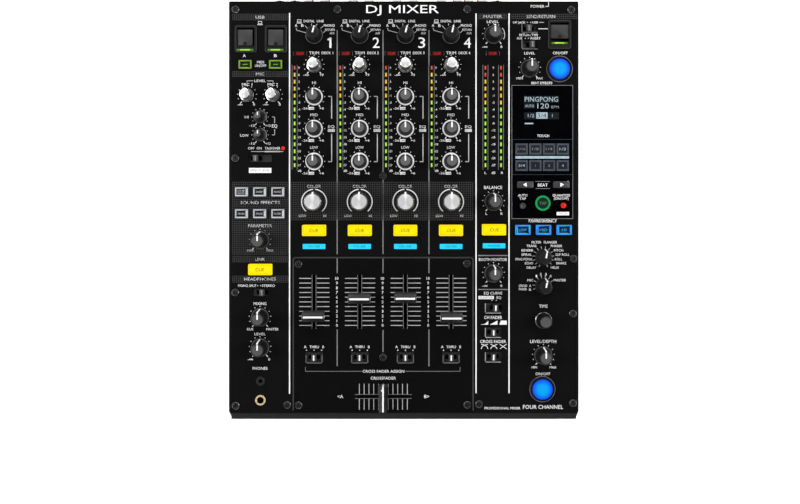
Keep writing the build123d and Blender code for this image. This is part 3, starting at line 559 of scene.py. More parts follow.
def slim_knob(skirt, top, height):
    """A thin tall cap on a wide foot."""
    part = lathe([(0, 0), (skirt, 0), (skirt, 0.8), (skirt - 0.5, 1.3), (skirt - 1.8, 1.8), (top + 0.9, 3.2),
                  (top + 0.35, height - 0.8), (top + 0.1, height - 0.2), (top - 0.3, height), (0, height)],
                 (0, 3, 3, 0, 0, 0, 0, 0, 1), 32)
    flute(part, 3.6, height - 1.0, 0.25, 0)
    knob = new_bm()
    drop_in(knob, part)
    drop_in(knob, ribbon([(0.2, height + 0.02), (top - 0.2, height + 0.02), (top + 0.45, height - 0.9),
                          (top + 1.0, 3.2)], 0.9, -0.12, 2))
    return knob


def filter_knob(skirt, top, height):
    """The wide knob with a turned face, a faceted black foot and a bright tab for a pointer."""
    part = lathe([(0, 0), (skirt, 0), (skirt, 3.0), (skirt - 0.6, 3.8), (top + 0.7, height - 1.6), (top + 0.2, height - 0.6),
                  (top - 0.3, height - 0.1), (top - 0.8, height), (0, height - 0.25)],
                 (0, 0, 0, 0, 0, 3, 3, 1), 48)
    flute(part, 4.2, height - 1.8, 0.4, 0)
    knob = new_bm()
    drop_in(knob, part)
    drop_in(knob, ribbon([(top - 1.9, height + 0.03), (top - 0.3, height + 0.0), (top + 0.4, height - 0.7),
                          (top + 0.9, height - 1.7), (skirt - 0.55, 3.9)], 1.6, -0.14, 2))
    return knob


def encoder_knob(skirt, top, height):
    """The endless time knob: no pointer, a thin silver ring at its foot."""
    part = lathe([(0, 0), (skirt, 0), (skirt, 1.2), (skirt - 0.5, 1.7), (skirt - 0.9, 2.4), (top + 0.5, height - 1.0),
                  (top + 0.2, height - 0.3), (top - 0.2, height), (top - 0.5, height), (top - 0.7, height - 0.2),
                  (0, height - 0.2)],
                 (3, 3, 3, 0, 0, 0, 0, 0, 1, 1), 48)
    flute(part, 2.8, height - 1.2, 0.35, 0)
    return part


styles = {
    "tone": (lambda: tall_knob(6.8, 5.0, 15.5, 4.7), (soft_black, grey_top, white_plastic, soft_black), "grey_knob"),
    "level": (lambda: tall_knob(8.0, 5.35, 16.7, 5.0), (soft_black, level_top, white_plastic, dark_cap), "black_knob"),
    "selector": (lambda: tall_knob(7.6, 5.0, 16.0, 4.6), (soft_black, soft_black, white_plastic, dark_cap), "black_knob"),
    "trim": (lambda: silver_knob(7.15, 4.6, 15.5), (satin_aluminium, turned_aluminium, white_plastic, bright_ring),
             "silver_knob"),
    "mic": (lambda: silver_knob(6.55, 4.6, 14.5), (satin_aluminium, turned_aluminium, white_plastic, bright_ring),
            "silver_knob"),
    "slim": (lambda: slim_knob(6.1, 2.95, 14.5), (soft_black, level_top, white_plastic, dark_cap), "black_knob"),
    "filter": (lambda: filter_knob(9.75, 7.9, 15.0), (soft_black, turned_aluminium, white_plastic, bright_ring),
               "silver_knob"),
    "encoder": (lambda: encoder_knob(7.8, 5.3, 15.0), (soft_black, level_top, white_plastic, bright_ring), "black_knob"),
}
turned_at_rest = {"effect_selector": 11.1, "channel_selector": 12.3}


def style_of(node):
    """The style of a knob from its name, or nothing if the node isn't a knob."""
    if node in ("effect_selector", "channel_selector") or node.startswith("input_selector"):
        return "selector"
    if node.startswith("mic_level"):
        return "mic"
    if node in ("mic_high_knob", "mic_low_knob"):
        return "slim"
    if node == "time_knob":
        return "encoder"
    for start, style in (("trim", "trim"), ("filter", "filter"), ("high", "tone"), ("mid", "tone"), ("low", "tone")):
        if node.startswith(start):
            return style
    return "level" if node.endswith("_knob") else None


knob_count = 0
for node in sorted(nodes):
    style = style_of(node)
    if style is None:
        continue
    make, materials, slot = styles[style]
    turn = turned_at_rest.get(node, 14.4 if node.startswith("input_selector") else 0.0)
    x, y = middle_of(node)
    knob = new_bm()
    drop_in(knob, make(), x, y, KNOB_BASE, turn)
    drop_in(knob, lathe([(2.9, 72.0), (3.0, 72.4), (3.0, KNOB_BASE)], (0,), 20), x, y)
    piece(knob, node + "_cap", node, materials, (node,))
    knob_count += 1
print("knobs:", knob_count)

# %% [markdown]
# ## Faders
# A fader cap is a scooped block on a thin lever that comes up through its slot. The cap is one extruded
# profile with a ridge across it. The white line is a second plastic that shows on top and runs down
# both ends. The half towards the user is painted shade: its faces get a darker black plastic.

# %%
def extruded(profile, across, slot):
    """A profile of (y, z) points pulled out along x, with softened edges."""
    part = new_bm()
    verts = [part.verts.new((-across / 2, y, z)) for y, z in profile]
    start = bmesh.ops.contextual_create(part, geom=verts)["faces"]
    grown = bmesh.ops.extrude_face_region(part, geom=start)["geom"]
    bmesh.ops.translate(part, vec=(across, 0, 0), verts=[v for v in grown if isinstance(v, bmesh.types.BMVert)])
    bmesh.ops.recalc_face_normals(part, faces=part.faces)
    bmesh.ops.bevel(part, geom=part.edges[:], offset=0.3, segments=2, profile=0.5, affect="EDGES", material=-1)
    for face in part.faces:
        face.material_index = slot
    return part


CAP_BASE = 92.0


def fader_cap(across, along, turn, x, y, line, tick):
    """A fader cap at its place. Slots: 0 body, 1 white line, 2 painted shade on the front half, 3 steel lever."""
    half = along / 2
    waist = half * 0.82
    cap = new_bm()
    body = extruded([(-half, 0), (half, 0), (waist, 11.9), (2.6, 9.7), (1.1, 11.5), (-1.1, 11.5), (-2.6, 9.7),
                     (-waist, 11.9)], across, 0)
    # Faces of the front half take slot 2, the darker black plastic, as painted shade on the side towards the user.
    for face in body.faces:
        if face.calc_center_median().y < -1.2:
            face.material_index = 2
    drop_in(cap, body, x, y, CAP_BASE, turn)
    strip = new_bm()
    bar(strip, 0, 0, across - (0.0 if tick else 2.4), line, 1, 11.4, 11.62)
    for end in (-1, 1):
        bar(strip, end * (across / 2 + 0.02), 0, 0.1, line, 1, 2.0, 11.3)
    if tick:
        bar(strip, 8.2, 1.0, line, 3.4, 1, 11.4, 11.6)
    drop_in(cap, strip, x, y, CAP_BASE, turn)
    drop_in(cap, block(1.6, 5.0, 74.0, CAP_BASE + 0.3, 0.2, 0, 3), x, y, 0, turn)
    return cap


for number, x in enumerate(channel_x, start=1):
    node = f"channel_fader_{number}"
    y = middle_of(node)[1]
    piece(fader_cap(20.5, 10.5, 0, x, y, 1.7, False), node + "_cap", node,
          (dark_cap, white_plastic, soft_black, nickel), (node,))
x, y = middle_of("crossfader")
piece(fader_cap(24.0, 9.5, -90, x, y, 1.3, True), "crossfader_cap", "crossfader",
      (dark_cap, white_plastic, soft_black, nickel), ("crossfader",))
print("fader caps: 5")

# %% [markdown]
# ## Push buttons
# The keys are milky silicone over LEDs. The cue keys glow all over. The effect keys have a dark
# painted face with a clear rim, so that only the rim lights: the face is inset twice to make the rim
# and the face. The two large round keys glow from the middle and sit in a dark rim.

# %%
KEY_FOOT = 82.0
KEY_TOP = 92.7
cue_places = [(x, -22.1) for x in channel_x] + [(85.7, -21.5), (-136.2, -59.2)]
cue_keys = new_bm()
for x, y in cue_places:
    key = inset_top(block(22.5, 10.4, KEY_FOOT, KEY_TOP, 1.0, 0.5, 0), ((0.55, 0), (0.3, 1), (None, 0)))
    drop_in(cue_keys, key, x, y)
for x, y in cue_places:
    words(cue_keys, "CUE", x, y, 2.9, 2, 8.4, KEY_TOP + 0.02)
# Olive ink printed under the clear top of the silicone
olive_ink = grained("olive_keycap_ink", "3a3400", "4a4200", (0.4, 0.5), 0.3, 0.05)
piece(cue_keys, "cue_keycaps", "cue_buttons", (lit_yellow, lit_orange, olive_ink), ("cue_buttons",))

effect_names = ((("DUB", "ECHO"), ("SWEEP",), ("NOISE",)), (("CRUSH",), ("SPACE",), ("FILTER",)))
select_keys = new_bm()
for row, y in enumerate((14.5, -6.2)):
    for column in range(3):
        x = -136.4 + (column - 1) * 17.2
        key = inset_top(block(13.2, 9.4, KEY_FOOT, KEY_TOP, 1.0, 0.4, 0), ((0.1, 0), (1.35, 1), (None, 0)))
        drop_in(select_keys, key, x, y)
        bar(select_keys, x + 4.3, y, 0.9, 5.6, 1, KEY_TOP, KEY_TOP + 0.03)
        lines = effect_names[row][column]
        for number, text in enumerate(lines):
            words(select_keys, text, x - 0.4, y + (1.1 - 2.2 * number if len(lines) > 1 else 0), 1.7, 1, 6.4, KEY_TOP + 0.02)
for column, text in zip((-1, 0, 1), ("LOW", "MID", "HI")):
    x = 132.5 + column * 19.5 - 0.2
    key = inset_top(block(15.5, 10.3, KEY_FOOT, KEY_TOP, 1.0, 0.4, 5), ((0.15, 5), (1.7, 2), (None, 0)))
    drop_in(select_keys, key, x, -21.5)
    bar(select_keys, x - 5.2, -21.5, 1.1, 6.2, 2, KEY_TOP, KEY_TOP + 0.03)
    words(select_keys, text, x, -21.5, 2.6, 2, 4.4 if text == "HI" else 7.2, KEY_TOP + 0.02)
for x in (-150.2, -121.3):
    key = inset_top(block(13.3, 9.1, KEY_FOOT, KEY_TOP, 1.0, 0.4, 0), ((0.2, 0), (1.3, 3), (None, 0)))
    drop_in(select_keys, key, x, 135.2)
    bar(select_keys, x, 135.2, 4.6, 0.7, 3, KEY_TOP, KEY_TOP + 0.03)
for x, way in ((115.2, -1), (149.4, 1)):
    drop_in(select_keys, block(15.4, 6.2, KEY_FOOT, KEY_TOP, 1.0, 0.6, 4), x, 21.3)
    arrow = bmesh.ops.create_circle(select_keys, cap_ends=True, radius=2.3, segments=3,
                                    matrix=Matrix.Translation((x, 21.3, KEY_TOP + 0.03))
                                    @ Matrix.Rotation(-way * pi / 2, 4, "Z"))
    for face in set(face for vert in arrow["verts"] for face in vert.link_faces):
        face.material_index = 6
piece(select_keys, "select_keycaps", "select_buttons",
      (soft_black, lit_white, lit_aqua, lit_green, dark_cap, navy_rim, white_plastic), ("select_buttons",))

round_keys = new_bm()
for x, y, radius in ((147.9, 131.2, 11.8), (131.6, -172.7, 11.6)):
    key = lathe([(radius, KEY_FOOT), (radius, KEY_TOP - 0.7), (radius - 0.5, KEY_TOP - 0.2), (9.75, KEY_TOP - 0.2),
                 (9.5, KEY_TOP - 0.35), (9.2, KEY_TOP), (0, KEY_TOP)], (1, 1, 1, 1, 0, 0), 64)
    drop_in(round_keys, key, x, y)
auto = lathe([(2.9, KEY_FOOT), (2.9, KEY_TOP - 0.5), (2.5, KEY_TOP), (1.9, KEY_TOP), (1.6, KEY_TOP - 0.2),
              (0, KEY_TOP - 0.3)], (2,), 32)
drop_in(round_keys, auto, 112.9, 1.2)
tap = lathe([(7.2, KEY_FOOT), (7.2, KEY_TOP - 0.4), (6.9, KEY_TOP), (5.6, KEY_TOP), (5.4, KEY_TOP - 0.2),
             (0, KEY_TOP - 0.2)], (2, 3, 3, 3, 4), 48)
drop_in(round_keys, tap, 131.8, 3.8)
words(round_keys, "TAP", 131.8, 3.8, 2.6, 3, 6.8, KEY_TOP - 0.17)
quantize = lathe([(2.4, KEY_FOOT), (2.4, KEY_TOP - 0.6), (1.9, KEY_TOP), (0, KEY_TOP)], (5,), 32)
drop_in(round_keys, quantize, 151.6, 1.6)
piece(round_keys, "round_keycaps", "round_buttons", (lit_blue, navy_rim, dark_cap, lit_teal, soft_black, lit_red),
      ("round_buttons",))
print("keys:", len(cue_places) + 13 + 5)

# %% [markdown]
# ## Slide switches
# Each lever is a small moulded grip with a white line, standing on the floor of a shallow well.

# %%
three_way = [(x, -142.6) for x in channel_x] + [(85.0, -118.8), (85.0, -142.1), (-140.3, 46.3), (118.5, 169.6)]
two_way = [(87.1, -95.6), (-134.3, -81.0), (121.7, 154.3)]
for name, node, places in (("three_way_levers", "three_way_switches", three_way),
                           ("two_way_levers", "two_way_switches", two_way)):
    levers = new_bm()
    for x, y in places:
        drop_in(levers, block(4.7, 6.4, 88.8, 93.9, 0.5, 0.5, 0), x, y)
        drop_in(levers, block(2.0, 3.6, 84.0, 88.9, 0.0, 0.0, 0), x, y)
        bar(levers, x, y, 1.3, 5.0, 1 if x > -130 and y < 0 and x < 100 else 2, 93.88, 93.96)
    piece(levers, name, node, (dark_cap, white_plastic, grey_ink), (node,))
print("slide switches:", len(three_way) + len(two_way))

# %% [markdown]
# ## Meters and lamps
# A level meter is a row of small rectangular LEDs behind one smoked strip. Clip lamps are words that
# light up in the panel, and a blue-green lamp under each cue key shows that the key is live.

# %%
lights = new_bm()
for x, reds, warms, top, pitch, count in (
    [(c - 18.4, 1, 4, 132.3, 6.6, 15) for c in channel_x] + [(77.5, 2, 4, 132.3, 6.6, 15), (92.3, 2, 4, 132.3, 6.6, 15)]
):
    for number in range(count):
        kind = 0 if number < reds else 1 if number < reds + warms else 2
        y = top - number * pitch
        bar(lights, x, y, 2.0, 4.0, kind + 6, GLASS_TOP, GLASS_TOP + 0.04)
        bar(lights, x, y, 1.25, 3.3, kind, GLASS_TOP, GLASS_TOP + 0.06)
for x, y in [(c - 13.2, 145.9) for c in channel_x] + [(84.5, 145.9)]:
    bar(lights, x, y, 8.2, 3.6, 6, GLASS_TOP, GLASS_TOP + 0.02)
    words(lights, "CLIP", x, y, 2.2, 3, 6.6, GLASS_TOP + 0.05)
for x, y in [(c, -37.3) for c in channel_x] + [(85.7, -36.7)]:
    drop_in(lights, block(21.5, 4.8, GLASS_TOP, GLASS_TOP + 0.08, 0.6, 0, 4), x, y)
    words(lights, "ON AIR" if x < 80 else "MASTER", x, y, 2.0, 5, 11.6, GLASS_TOP + 0.1)
drop_in(lights, disc(1.8, GLASS_TOP, GLASS_TOP + 0.3, 3), -114.5, 55.9)
teal_ink = grained("teal_lamp_ink", "0a4a5c", "0c5468", (0.4, 0.5), 0.4, 0.05)
piece(lights, "meter_lights", "chassis", (led_red, led_orange, led_green, lit_red, lit_cyan, teal_ink, red_glow, orange_glow,
                                          green_glow))
print("meter segments:", 6 * 15)

# %% [markdown]
# ## USB ports
# Each port hides behind a dark flap in a framed well. The thumb notch at its lower edge is painted shade,
# a black disc on the flap, and a lit bar below it shows when a computer is connected.

# %%
ports = new_bm()
for x, y, width, length, flap_x, flap_y, flap_width, flap_length, bar_x, bar_y, bar_width in (
    (-149.9, 159.7, 20.7, 25.3, -150.7, 161.0, 14.3, 15.2, -150.6, 149.2, 15.8),
    (-121.3, 159.7, 20.7, 25.3, -121.5, 161.0, 14.5, 15.2, -121.6, 149.2, 14.9),
    (147.9, 163.9, 21.7, 26.9, 148.2, 166.7, 17.2, 12.9, 147.8, 155.7, 15.2),
):
    rim = inset_top(block(width, length, 91.25, 91.32, 2.0, 0, 0), ((0.5, 1), (None, 0)))
    bmesh.ops.delete(rim, geom=[face for face in rim.faces if face.material_index == 0], context="FACES")
    drop_in(ports, rim, x, y)
    drop_in(ports, block(flap_width, flap_length, 89.2, 90.3, 0.6, 0.3, 0), flap_x, flap_y)
    # The thumb notch: a flat black disc, painted shade where the hollow would be.
    drop_in(ports, disc(1.8, 90.3, 90.34, 4), flap_x, flap_y - flap_length / 2 + 1.9)
    drop_in(ports, block(bar_width, 1.7, 91.26, 91.5, 0.6, 0.15, 3), bar_x, bar_y)
    bar(ports, bar_x, bar_y, bar_width * 0.6, 1.2, 2, 91.5, 91.54)
piece(ports, "port_trim", "chassis", (port_cover, dark_cap, lime_bar, lime_edge, soft_black))
print("ports: 3")

# %% [markdown]
# ## Printed legends on the panel
# The legends are ink, a few hundredths of a millimetre thick, so they are modelled as very thin raised
# letters and lines. A table gives each word with its place and its height. Everything that repeats for
# the four channels is printed by one loop, which also keeps the columns exactly alike. A few thin rings
# and arcs of ink that hug the skirts of knobs are painted highlights on the skirt edges.

# %%
WHITE, GREY, DARK, BLACK, LIGHT = range(5)
INKS = (white_ink, grey_ink, dark_ink, black_ink, light_ink)


def boxed(target, text, x, y, width, height, letters, z=INK_TOP):
    """Dark words on a filled white box."""
    bar(target, x, y, width, height, WHITE, z - 0.04, z)
    words(target, text, x, y, letters, BLACK, width * 0.86, z + 0.01, thick=0.02)


def dots(target, x, y, radius, first, last, step, long_at=(), slot=WHITE, size=0.7, low=INK_LOW):
    """Scale marks round a knob. Angles run clockwise from the rear."""
    angle = first
    while angle <= last + 0.01:
        spin = Matrix.Rotation(-radians(angle), 3, "Z")
        spot = spin @ Vector((0, radius, 0))
        long = any(abs(angle - mark) < 0.5 for mark in long_at)
        bar(target, x + spot.x, y + spot.y, size, 2.2 if long else size, slot, low, low + 0.04, turn=angle)
        angle += step


def grid(target, left, right, front, rear, pitch, width, slot):
    """A zone of crossing lines."""
    across = round((right - left) / pitch)
    for number in range(across + 1):
        bar(target, left + (right - left) * number / across, (front + rear) / 2, width, rear - front, slot)
    along = round((rear - front) / pitch)
    for number in range(along + 1):
        bar(target, (left + right) / 2, front + (rear - front) * number / along, right - left, width, slot)


def icon_laptop(target, x, y, size, slot=WHITE):
    """A small computer: a screen over a base line."""
    outline(target, x - size * 0.42, x + size * 0.42, y - size * 0.12, y + size * 0.42, 0.35, slot)
    bar(target, x, y - size * 0.36, size * 1.3, 0.45, slot)


legend = new_bm()
for number, x in enumerate(channel_x, start=1):
    words(legend, str(number), x + 15.55, 156.1, 9.8, WHITE, 1.9 if number == 1 else 6.6)
    icon_laptop(legend, x - 14.0, 176.2, 4.0)
    for text, away, y, height, width in (
        ("DIGITAL", -4.7, 176.6, 2.2, 10.2), ("LINE", 6.0, 176.6, 2.2, 6.5), ("A", -17.1, 172.4, 2.4, 2.2),
        ("B", -11.0, 172.4, 2.4, 2.2), ("PHONO", 14.5, 172.4, 2.4, 10.5), ("RETURN", 15.1, 168.4, 2.0, 9.0),
        ("AUX", 17.1, 165.1, 2.0, 4.5), ("TRIM", 0.0, 146.4, 2.7, 9.4), (f"DECK {number}", 12.65, 146.4, 2.3, 10.9),
        ("-∞", -7.6, 125.5, 2.2, 5.4), ("+9", 7.2, 125.5, 2.2, 3.6), ("HI", 0.0, 118.1, 2.5, 3.6),
        ("MID", 0.0, 87.6, 2.5, 6.9), ("LOW", 0.0, 56.7, 2.5, 7.5), ("EQ", 16.4, 76.4, 2.5, 6.0),
        ("COLOR", 0.0, 19.8, 2.7, 13.0), ("LOW", -10.9, -8.2, 2.2, 6.9), ("HI", 10.1, -8.2, 2.2, 2.6),
        ("dB", -13.7, 34.5, 2.0, 3.3),
    ):
        words(legend, text, x + away, y, height, WHITE, width)
    for run in (((-8.7, 172.4), (-5.5, 168.9)), ((-17.0, 170.0), (-16.4, 167.9)), ((-16.4, 167.9), (-7.7, 165.5)),
                ((-2.4, 174.3), (-2.4, 172.4)), ((2.9, 174.0), (1.8, 172.2)), ((8.7, 171.9), (6.2, 169.7)),
                ((10.9, 167.5), (8.7, 165.5))):
        stroke(legend, (x + run[0][0], run[0][1]), (x + run[1][0], run[1][1]), 0.5, LIGHT)
    drop_in(legend, ring(8.1, 0.4, INK_LOW, INK_TOP, GREY, 32, 50, 220), x, 163.5)
    for side in (-19.4, -6.9):
        bar(legend, x + side, 145.9, 0.35, 3.4, GREY)
    dots(legend, x, 134.6, 9.4, -140, 140, 28, (-140, 140))
    for y, label in ((105.0, 93.8), (74.6, 63.3), (43.5, 32.2)):
        drop_in(legend, ring(7.6, 1.45, INK_LOW, INK_TOP, WHITE, 56), x, y)
        dots(legend, x, y, 10.1, -150, 150, 30, (-150, 150), size=0.7)
        words(legend, "-26", x - 8.7, label, 2.0, WHITE, 5.4)
        boxed(legend, "-∞", x - 2.6, label, 5.2, 2.6, 1.7)
        words(legend, "+6", x + 7.2, label, 2.0, WHITE, 4.3)
    for low, high in ((84.0, 105.5), (43.2, 69.5)):
        stroke(legend, (x + 16.7, low), (x + 16.7, high), 0.8, LIGHT)
    for y in (105.1, 43.2):
        bar(legend, x + 15.1, y, 3.3, 0.8, LIGHT)
    boxed(legend, "ISO", x + 16.4, 72.8, 6.5, 2.5, 1.7)
    grid(legend, x - 21.4, x + 20.6, -12.1, 23.7, 2.1, 0.5, DARK)
    for start in (5, 220):
        drop_in(legend, ring(11.8, 0.9, INK_LOW + 0.04, INK_TOP + 0.02, WHITE, 36, start, 135), x, 5.2)

stroke(legend, (channel_x[0] + 15.3, 160.4), (channel_x[0] + 12.9, 158.6), 1.5, WHITE)
scale = ("9", "6", "3", "0", "-1", "-3", "-4", "-6", "-9", "-12", "-15", "-18", "-21", "-24", "-27")
for x, numbers in [(c - 18.4, c - 14.3) for c in channel_x] + [(77.5, 85.0), (92.3, None)]:
    for side, shade in ((-2.4, GREY), (2.4, GREY)):
        bar(legend, x + side, 85.3, 0.4, 99.4, shade)
    if numbers is not None:
        for row, text in enumerate(scale):
            words(legend, text, numbers, 132.3 - row * 6.6, 2.0, WHITE)

# Separators between the columns
for x, front, rear, slot in (
    (-108.4, -177.0, 184.3, WHITE), (-63.2, -44.5, 168.0, GREY), (-19.7, 33.5, 168.0, GREY), (-19.7, -44.5, 26.0, GREY),
    (23.9, -44.5, 168.0, GREY), (68.6, -176.6, 183.9, WHITE), (99.9, -176.6, 183.9, WHITE),
):
    bar(legend, x, (front + rear) / 2, 1.1 if slot == WHITE else 0.9, rear - front, slot)
words(legend, "DJ MIXER", -1.2, 188.0, 7.5, WHITE, 69.0)

# Left column
for front, rear in ((177.8, 183.2), (123.9, 128.9), (-52.0, -46.6), (-71.2, -65.4)):
    grid(legend, -162.4, -110.4, front, rear, 1.8, 0.45, DARK)
grid(legend, -162.6, -110.6, -44.7, 23.7, 2.1, 0.5, DARK)
icon_laptop(legend, -136.4, 174.6, 4.0)
for text, x, y, height, width in (
    ("USB", -136.4, 180.4, 2.8, 8.4), ("A", -151.3, 143.8, 2.7, 2.8), ("B", -121.8, 143.8, 2.7, 2.6),
    ("MIDI", -136.0, 137.6, 2.3, 6.5), ("ON/OFF", -136.0, 134.3, 2.3, 10.9), ("MIC", -136.4, 126.4, 2.7, 7.8),
    ("LEVEL", -136.4, 119.9, 2.2, 10.7), ("HI", -149.1, 85.5, 2.4, 3.6), ("LOW", -151.2, 68.1, 2.4, 8.0),
    ("EQ", -122.6, 77.1, 3.0, 5.1), ("OFF", -144.9, 55.9, 2.2, 5.8), ("ON", -137.2, 55.9, 2.2, 4.7),
    ("TALKOVER", -124.6, 55.9, 2.2, 14.5), ("SOUND EFFECTS", -136.4, 4.3, 3.0, 37.4), ("PARAMETER", -136.4, -17.6, 2.8, 22.3),
    ("MIN", -145.8, -41.0, 2.1, 5.8), ("MAX", -126.9, -41.0, 2.1, 6.2), ("LINK", -136.4, -49.4, 2.9, 9.3),
    ("HEADPHONES", -136.4, -68.2, 3.0, 29.8), ("MONO SPLIT", -148.5, -74.5, 2.2, 17.4), ("STEREO", -128.5, -74.5, 2.2, 12.5),
    ("MIXING", -136.4, -91.6, 2.6, 12.1), ("CUE", -145.8, -115.8, 2.2, 6.2), ("MASTER", -124.7, -115.8, 2.2, 11.6),
    ("LEVEL", -136.4, -120.4, 2.3, 10.5), ("-∞", -145.5, -144.4, 2.2, 5.0), ("0", -127.8, -144.4, 2.2, 1.7),
    ("PHONES", -136.4, -153.0, 2.6, 14.0),
):
    words(legend, text, x, y, height, WHITE, width)
for x in (-138.7, -136.0):
    bar(legend, x, -74.5, 0.9, 0.9, LIGHT)
for hand in (-1, 1):
    stroke(legend, (-136.4 + hand * 6.6, 119.9), (-136.4 + hand * 12.4, 119.9), 0.5, LIGHT)
    bar(legend, -136.4 + hand * 12.4, 119.2, 0.5, 1.9, LIGHT)
for number, x in ((1, -148.7), (2, -124.3)):
    words(legend, f"MIC {number}", x, 116.5, 2.3, WHITE, 9.8)
    dots(legend, x, 106.2, 9.0, -140, 140, 28, (-140, 140), size=0.7)
    words(legend, "-∞", x - 6.8, 97.4, 2.0, WHITE, 5.0)
    words(legend, "0", x + 6.6, 97.4, 2.0, WHITE, 1.7)
for y in (85.6, 68.6):
    words(legend, "-12", -144.0, y - 8.2, 2.0, WHITE, 5.4)
    words(legend, "+12", -128.9, y - 8.2, 2.0, WHITE, 5.1)
    dots(legend, -136.4, y, 7.8, -150, 150, 30, (-150, 150), size=0.6)
    # A light grey arc on the right of the knob's skirt: a painted highlight on the skirt edge, not print.
    drop_in(legend, ring(5.9, 0.9, INK_LOW, INK_TOP, LIGHT, 24, 10, 110), -136.4, y)
for low, high, end in ((79.8, 85.6, 85.6), (68.6, 74.0, 68.6)):
    stroke(legend, (-122.6, low), (-122.6, high), 0.6, LIGHT)
    bar(legend, -123.8, end, 2.6, 0.6, LIGHT)
stroke(legend, (-144.9, 52.8), (-114.3, 52.8), 0.5, LIGHT)
bar(legend, -124.6, 52.8, 14.5, 1.0, WHITE)
boxed(legend, "EFFECT LEVEL", -136.3, 34.9, 21.3, 4.7, 1.9)

# Master column
grid(legend, 71.2, 97.6, 178.7, 183.3, 1.8, 0.45, DARK)
for text, x, y, height, width in (
    ("MASTER", 84.6, 181.0, 2.8, 17.6), ("LEVEL", 84.6, 176.0, 2.3, 11.5), ("-∞", 76.9, 152.2, 2.2, 5.0),
    ("0", 92.6, 152.2, 2.2, 1.7), ("L", 77.6, 32.6, 2.2, 1.8), ("dB", 85.2, 32.6, 2.2, 3.6), ("R", 93.3, 32.6, 2.2, 2.0),
    ("BALANCE", 84.8, 18.7, 2.9, 17.2), ("L", 78.5, -6.2, 2.2, 1.8), ("R", 92.9, -6.2, 2.2, 2.0),
    ("BOOTH MONITOR", 84.6, -49.7, 2.6, 26.6), ("-∞", 76.9, -74.7, 2.2, 5.0), ("0", 92.6, -74.7, 2.2, 1.7),
    ("EQ CURVE", 84.8, -81.6, 2.5, 17.2), ("EQ", 90.3, -85.8, 2.3, 4.3), ("CH FADER", 84.8, -104.7, 2.9, 17.0),
    ("CROSS FADER", 84.8, -127.5, 2.8, 24.6),
):
    words(legend, text, x, y, height, WHITE, width)
for side in (-6.3, 6.3):
    bar(legend, 84.5 + side, 145.9, 0.35, 3.4, GREY)
for y in (-45.9, -78.1):
    stroke(legend, (70.7, y), (98.7, y), 0.9, GREY)
boxed(legend, "ISOLATOR", 78.2, -85.8, 14.6, 3.0, 1.9)
for x in (83.7, 87.9):
    bar(legend, x, -88.4, 0.9, 0.9, LIGHT)
# Small graphs of the fader curves: the channel ones are filled, the crossfader ones are crossing lines
rises = (lambda t: t ** 3, lambda t: t, lambda t: min(1.0, t * 5))
for x, rise in zip((76.7, 85.5, 94.3), rises):
    for step in range(12):
        high = 0.25 + 3.6 * rise((step + 0.5) / 12)
        bar(legend, x - 3.45 + 6.9 * (step + 0.5) / 12, -111.5 + high / 2, 0.6, high, WHITE)

for x, bend in ((76.7, 0.35), (85.5, 0.6), (94.3, 1.0)):
    for hand in (-1, 1):
        for step in range(8):
            ends = [(x + hand * (3.2 - 0.8 * s), -134.5 + 4.4 * (s / 8) ** bend) for s in (step, step + 1)]
            stroke(legend, ends[0], ends[1], 0.5, WHITE)
for x, y, shade in ((85.0, -95.6, LIGHT), (85.0, -118.8, LIGHT), (85.0, -142.1, LIGHT), (119.8, 170.8, GREY), (119.8, 155.1, GREY)):
    bar(legend, x - 7.6, y, 0.5, 8.6, shade)
    bar(legend, x, y - 4.9, 14.6, 0.5, shade)

# Right column
grid(legend, 102.6, 164.2, 178.9, 183.2, 1.8, 0.45, DARK)
for text, x, y, height, width in (
    ("POWER", 127.0, 190.6, 2.6, 12.9), ("SEND/RETURN", 130.1, 181.0, 2.8, 27.1), ("1/4\" JACK", 109.6, 175.4, 2.0, 11.5),
    ("USB", 124.6, 175.4, 2.0, 5.4), ("RETURN TYPE", 118.6, 163.4, 2.2, 17.6), ("AUX", 109.8, 160.2, 2.1, 5.2),
    ("INSERT", 125.0, 160.2, 2.1, 9.4), ("LEVEL", 119.5, 146.1, 2.3, 10.2), ("MIN", 110.0, 122.3, 2.1, 5.8),
    ("MAX", 128.9, 122.3, 2.1, 6.1), ("ON/OFF", 148.5, 146.3, 2.5, 13.9), ("BEAT EFFECTS", 131.0, 117.7, 2.2, 19.0),
    ("FX FREQUENCY", 132.0, -12.9, 2.9, 26.8), ("TIME", 132.5, -94.0, 2.9, 8.0), ("LEVEL/DEPTH", 132.3, -127.4, 2.8, 24.7),
    ("MIN", 124.0, -152.0, 2.1, 5.0), ("MAX", 141.6, -152.0, 2.1, 6.4), ("ON/OFF", 132.0, -158.2, 2.5, 13.9),
    ("PROFESSIONAL MIXER", 93.7, -190.8, 2.2, 33.9), ("FOUR CHANNEL", 132.2, -189.6, 3.6, 38.0),
):
    words(legend, text, x, y, height, WHITE, width)
stroke(legend, (134.6, 190.6), (137.4, 190.6), 0.5, WHITE)
stroke(legend, (137.4, 190.4), (137.4, 194.6), 0.5, WHITE)
for x, y in ((117.4, 175.4), (120.4, 175.4), (115.4, 160.2), (118.4, 160.2)):
    bar(legend, x, y, 0.9, 0.9, LIGHT)
stroke(legend, (128.6, 175.4), (133.0, 175.4), 0.5, LIGHT)
stroke(legend, (127.7, 169.3), (136.7, 169.3), 0.6, WHITE)
drop_in(legend, ring(12.3, 0.5, INK_LOW, INK_TOP, GREY, 64), 147.9, 131.2)
drop_in(legend, ring(12.1, 0.5, INK_LOW, INK_TOP, GREY, 64), 131.6, -172.7)
words(legend, "BEAT EFFECTS", 131.0, 118.0, 2.0, WHITE, 20.0)
words(legend, "FX FREQUENCY", 132.0, -13.4, 1.9, WHITE, 18.4)
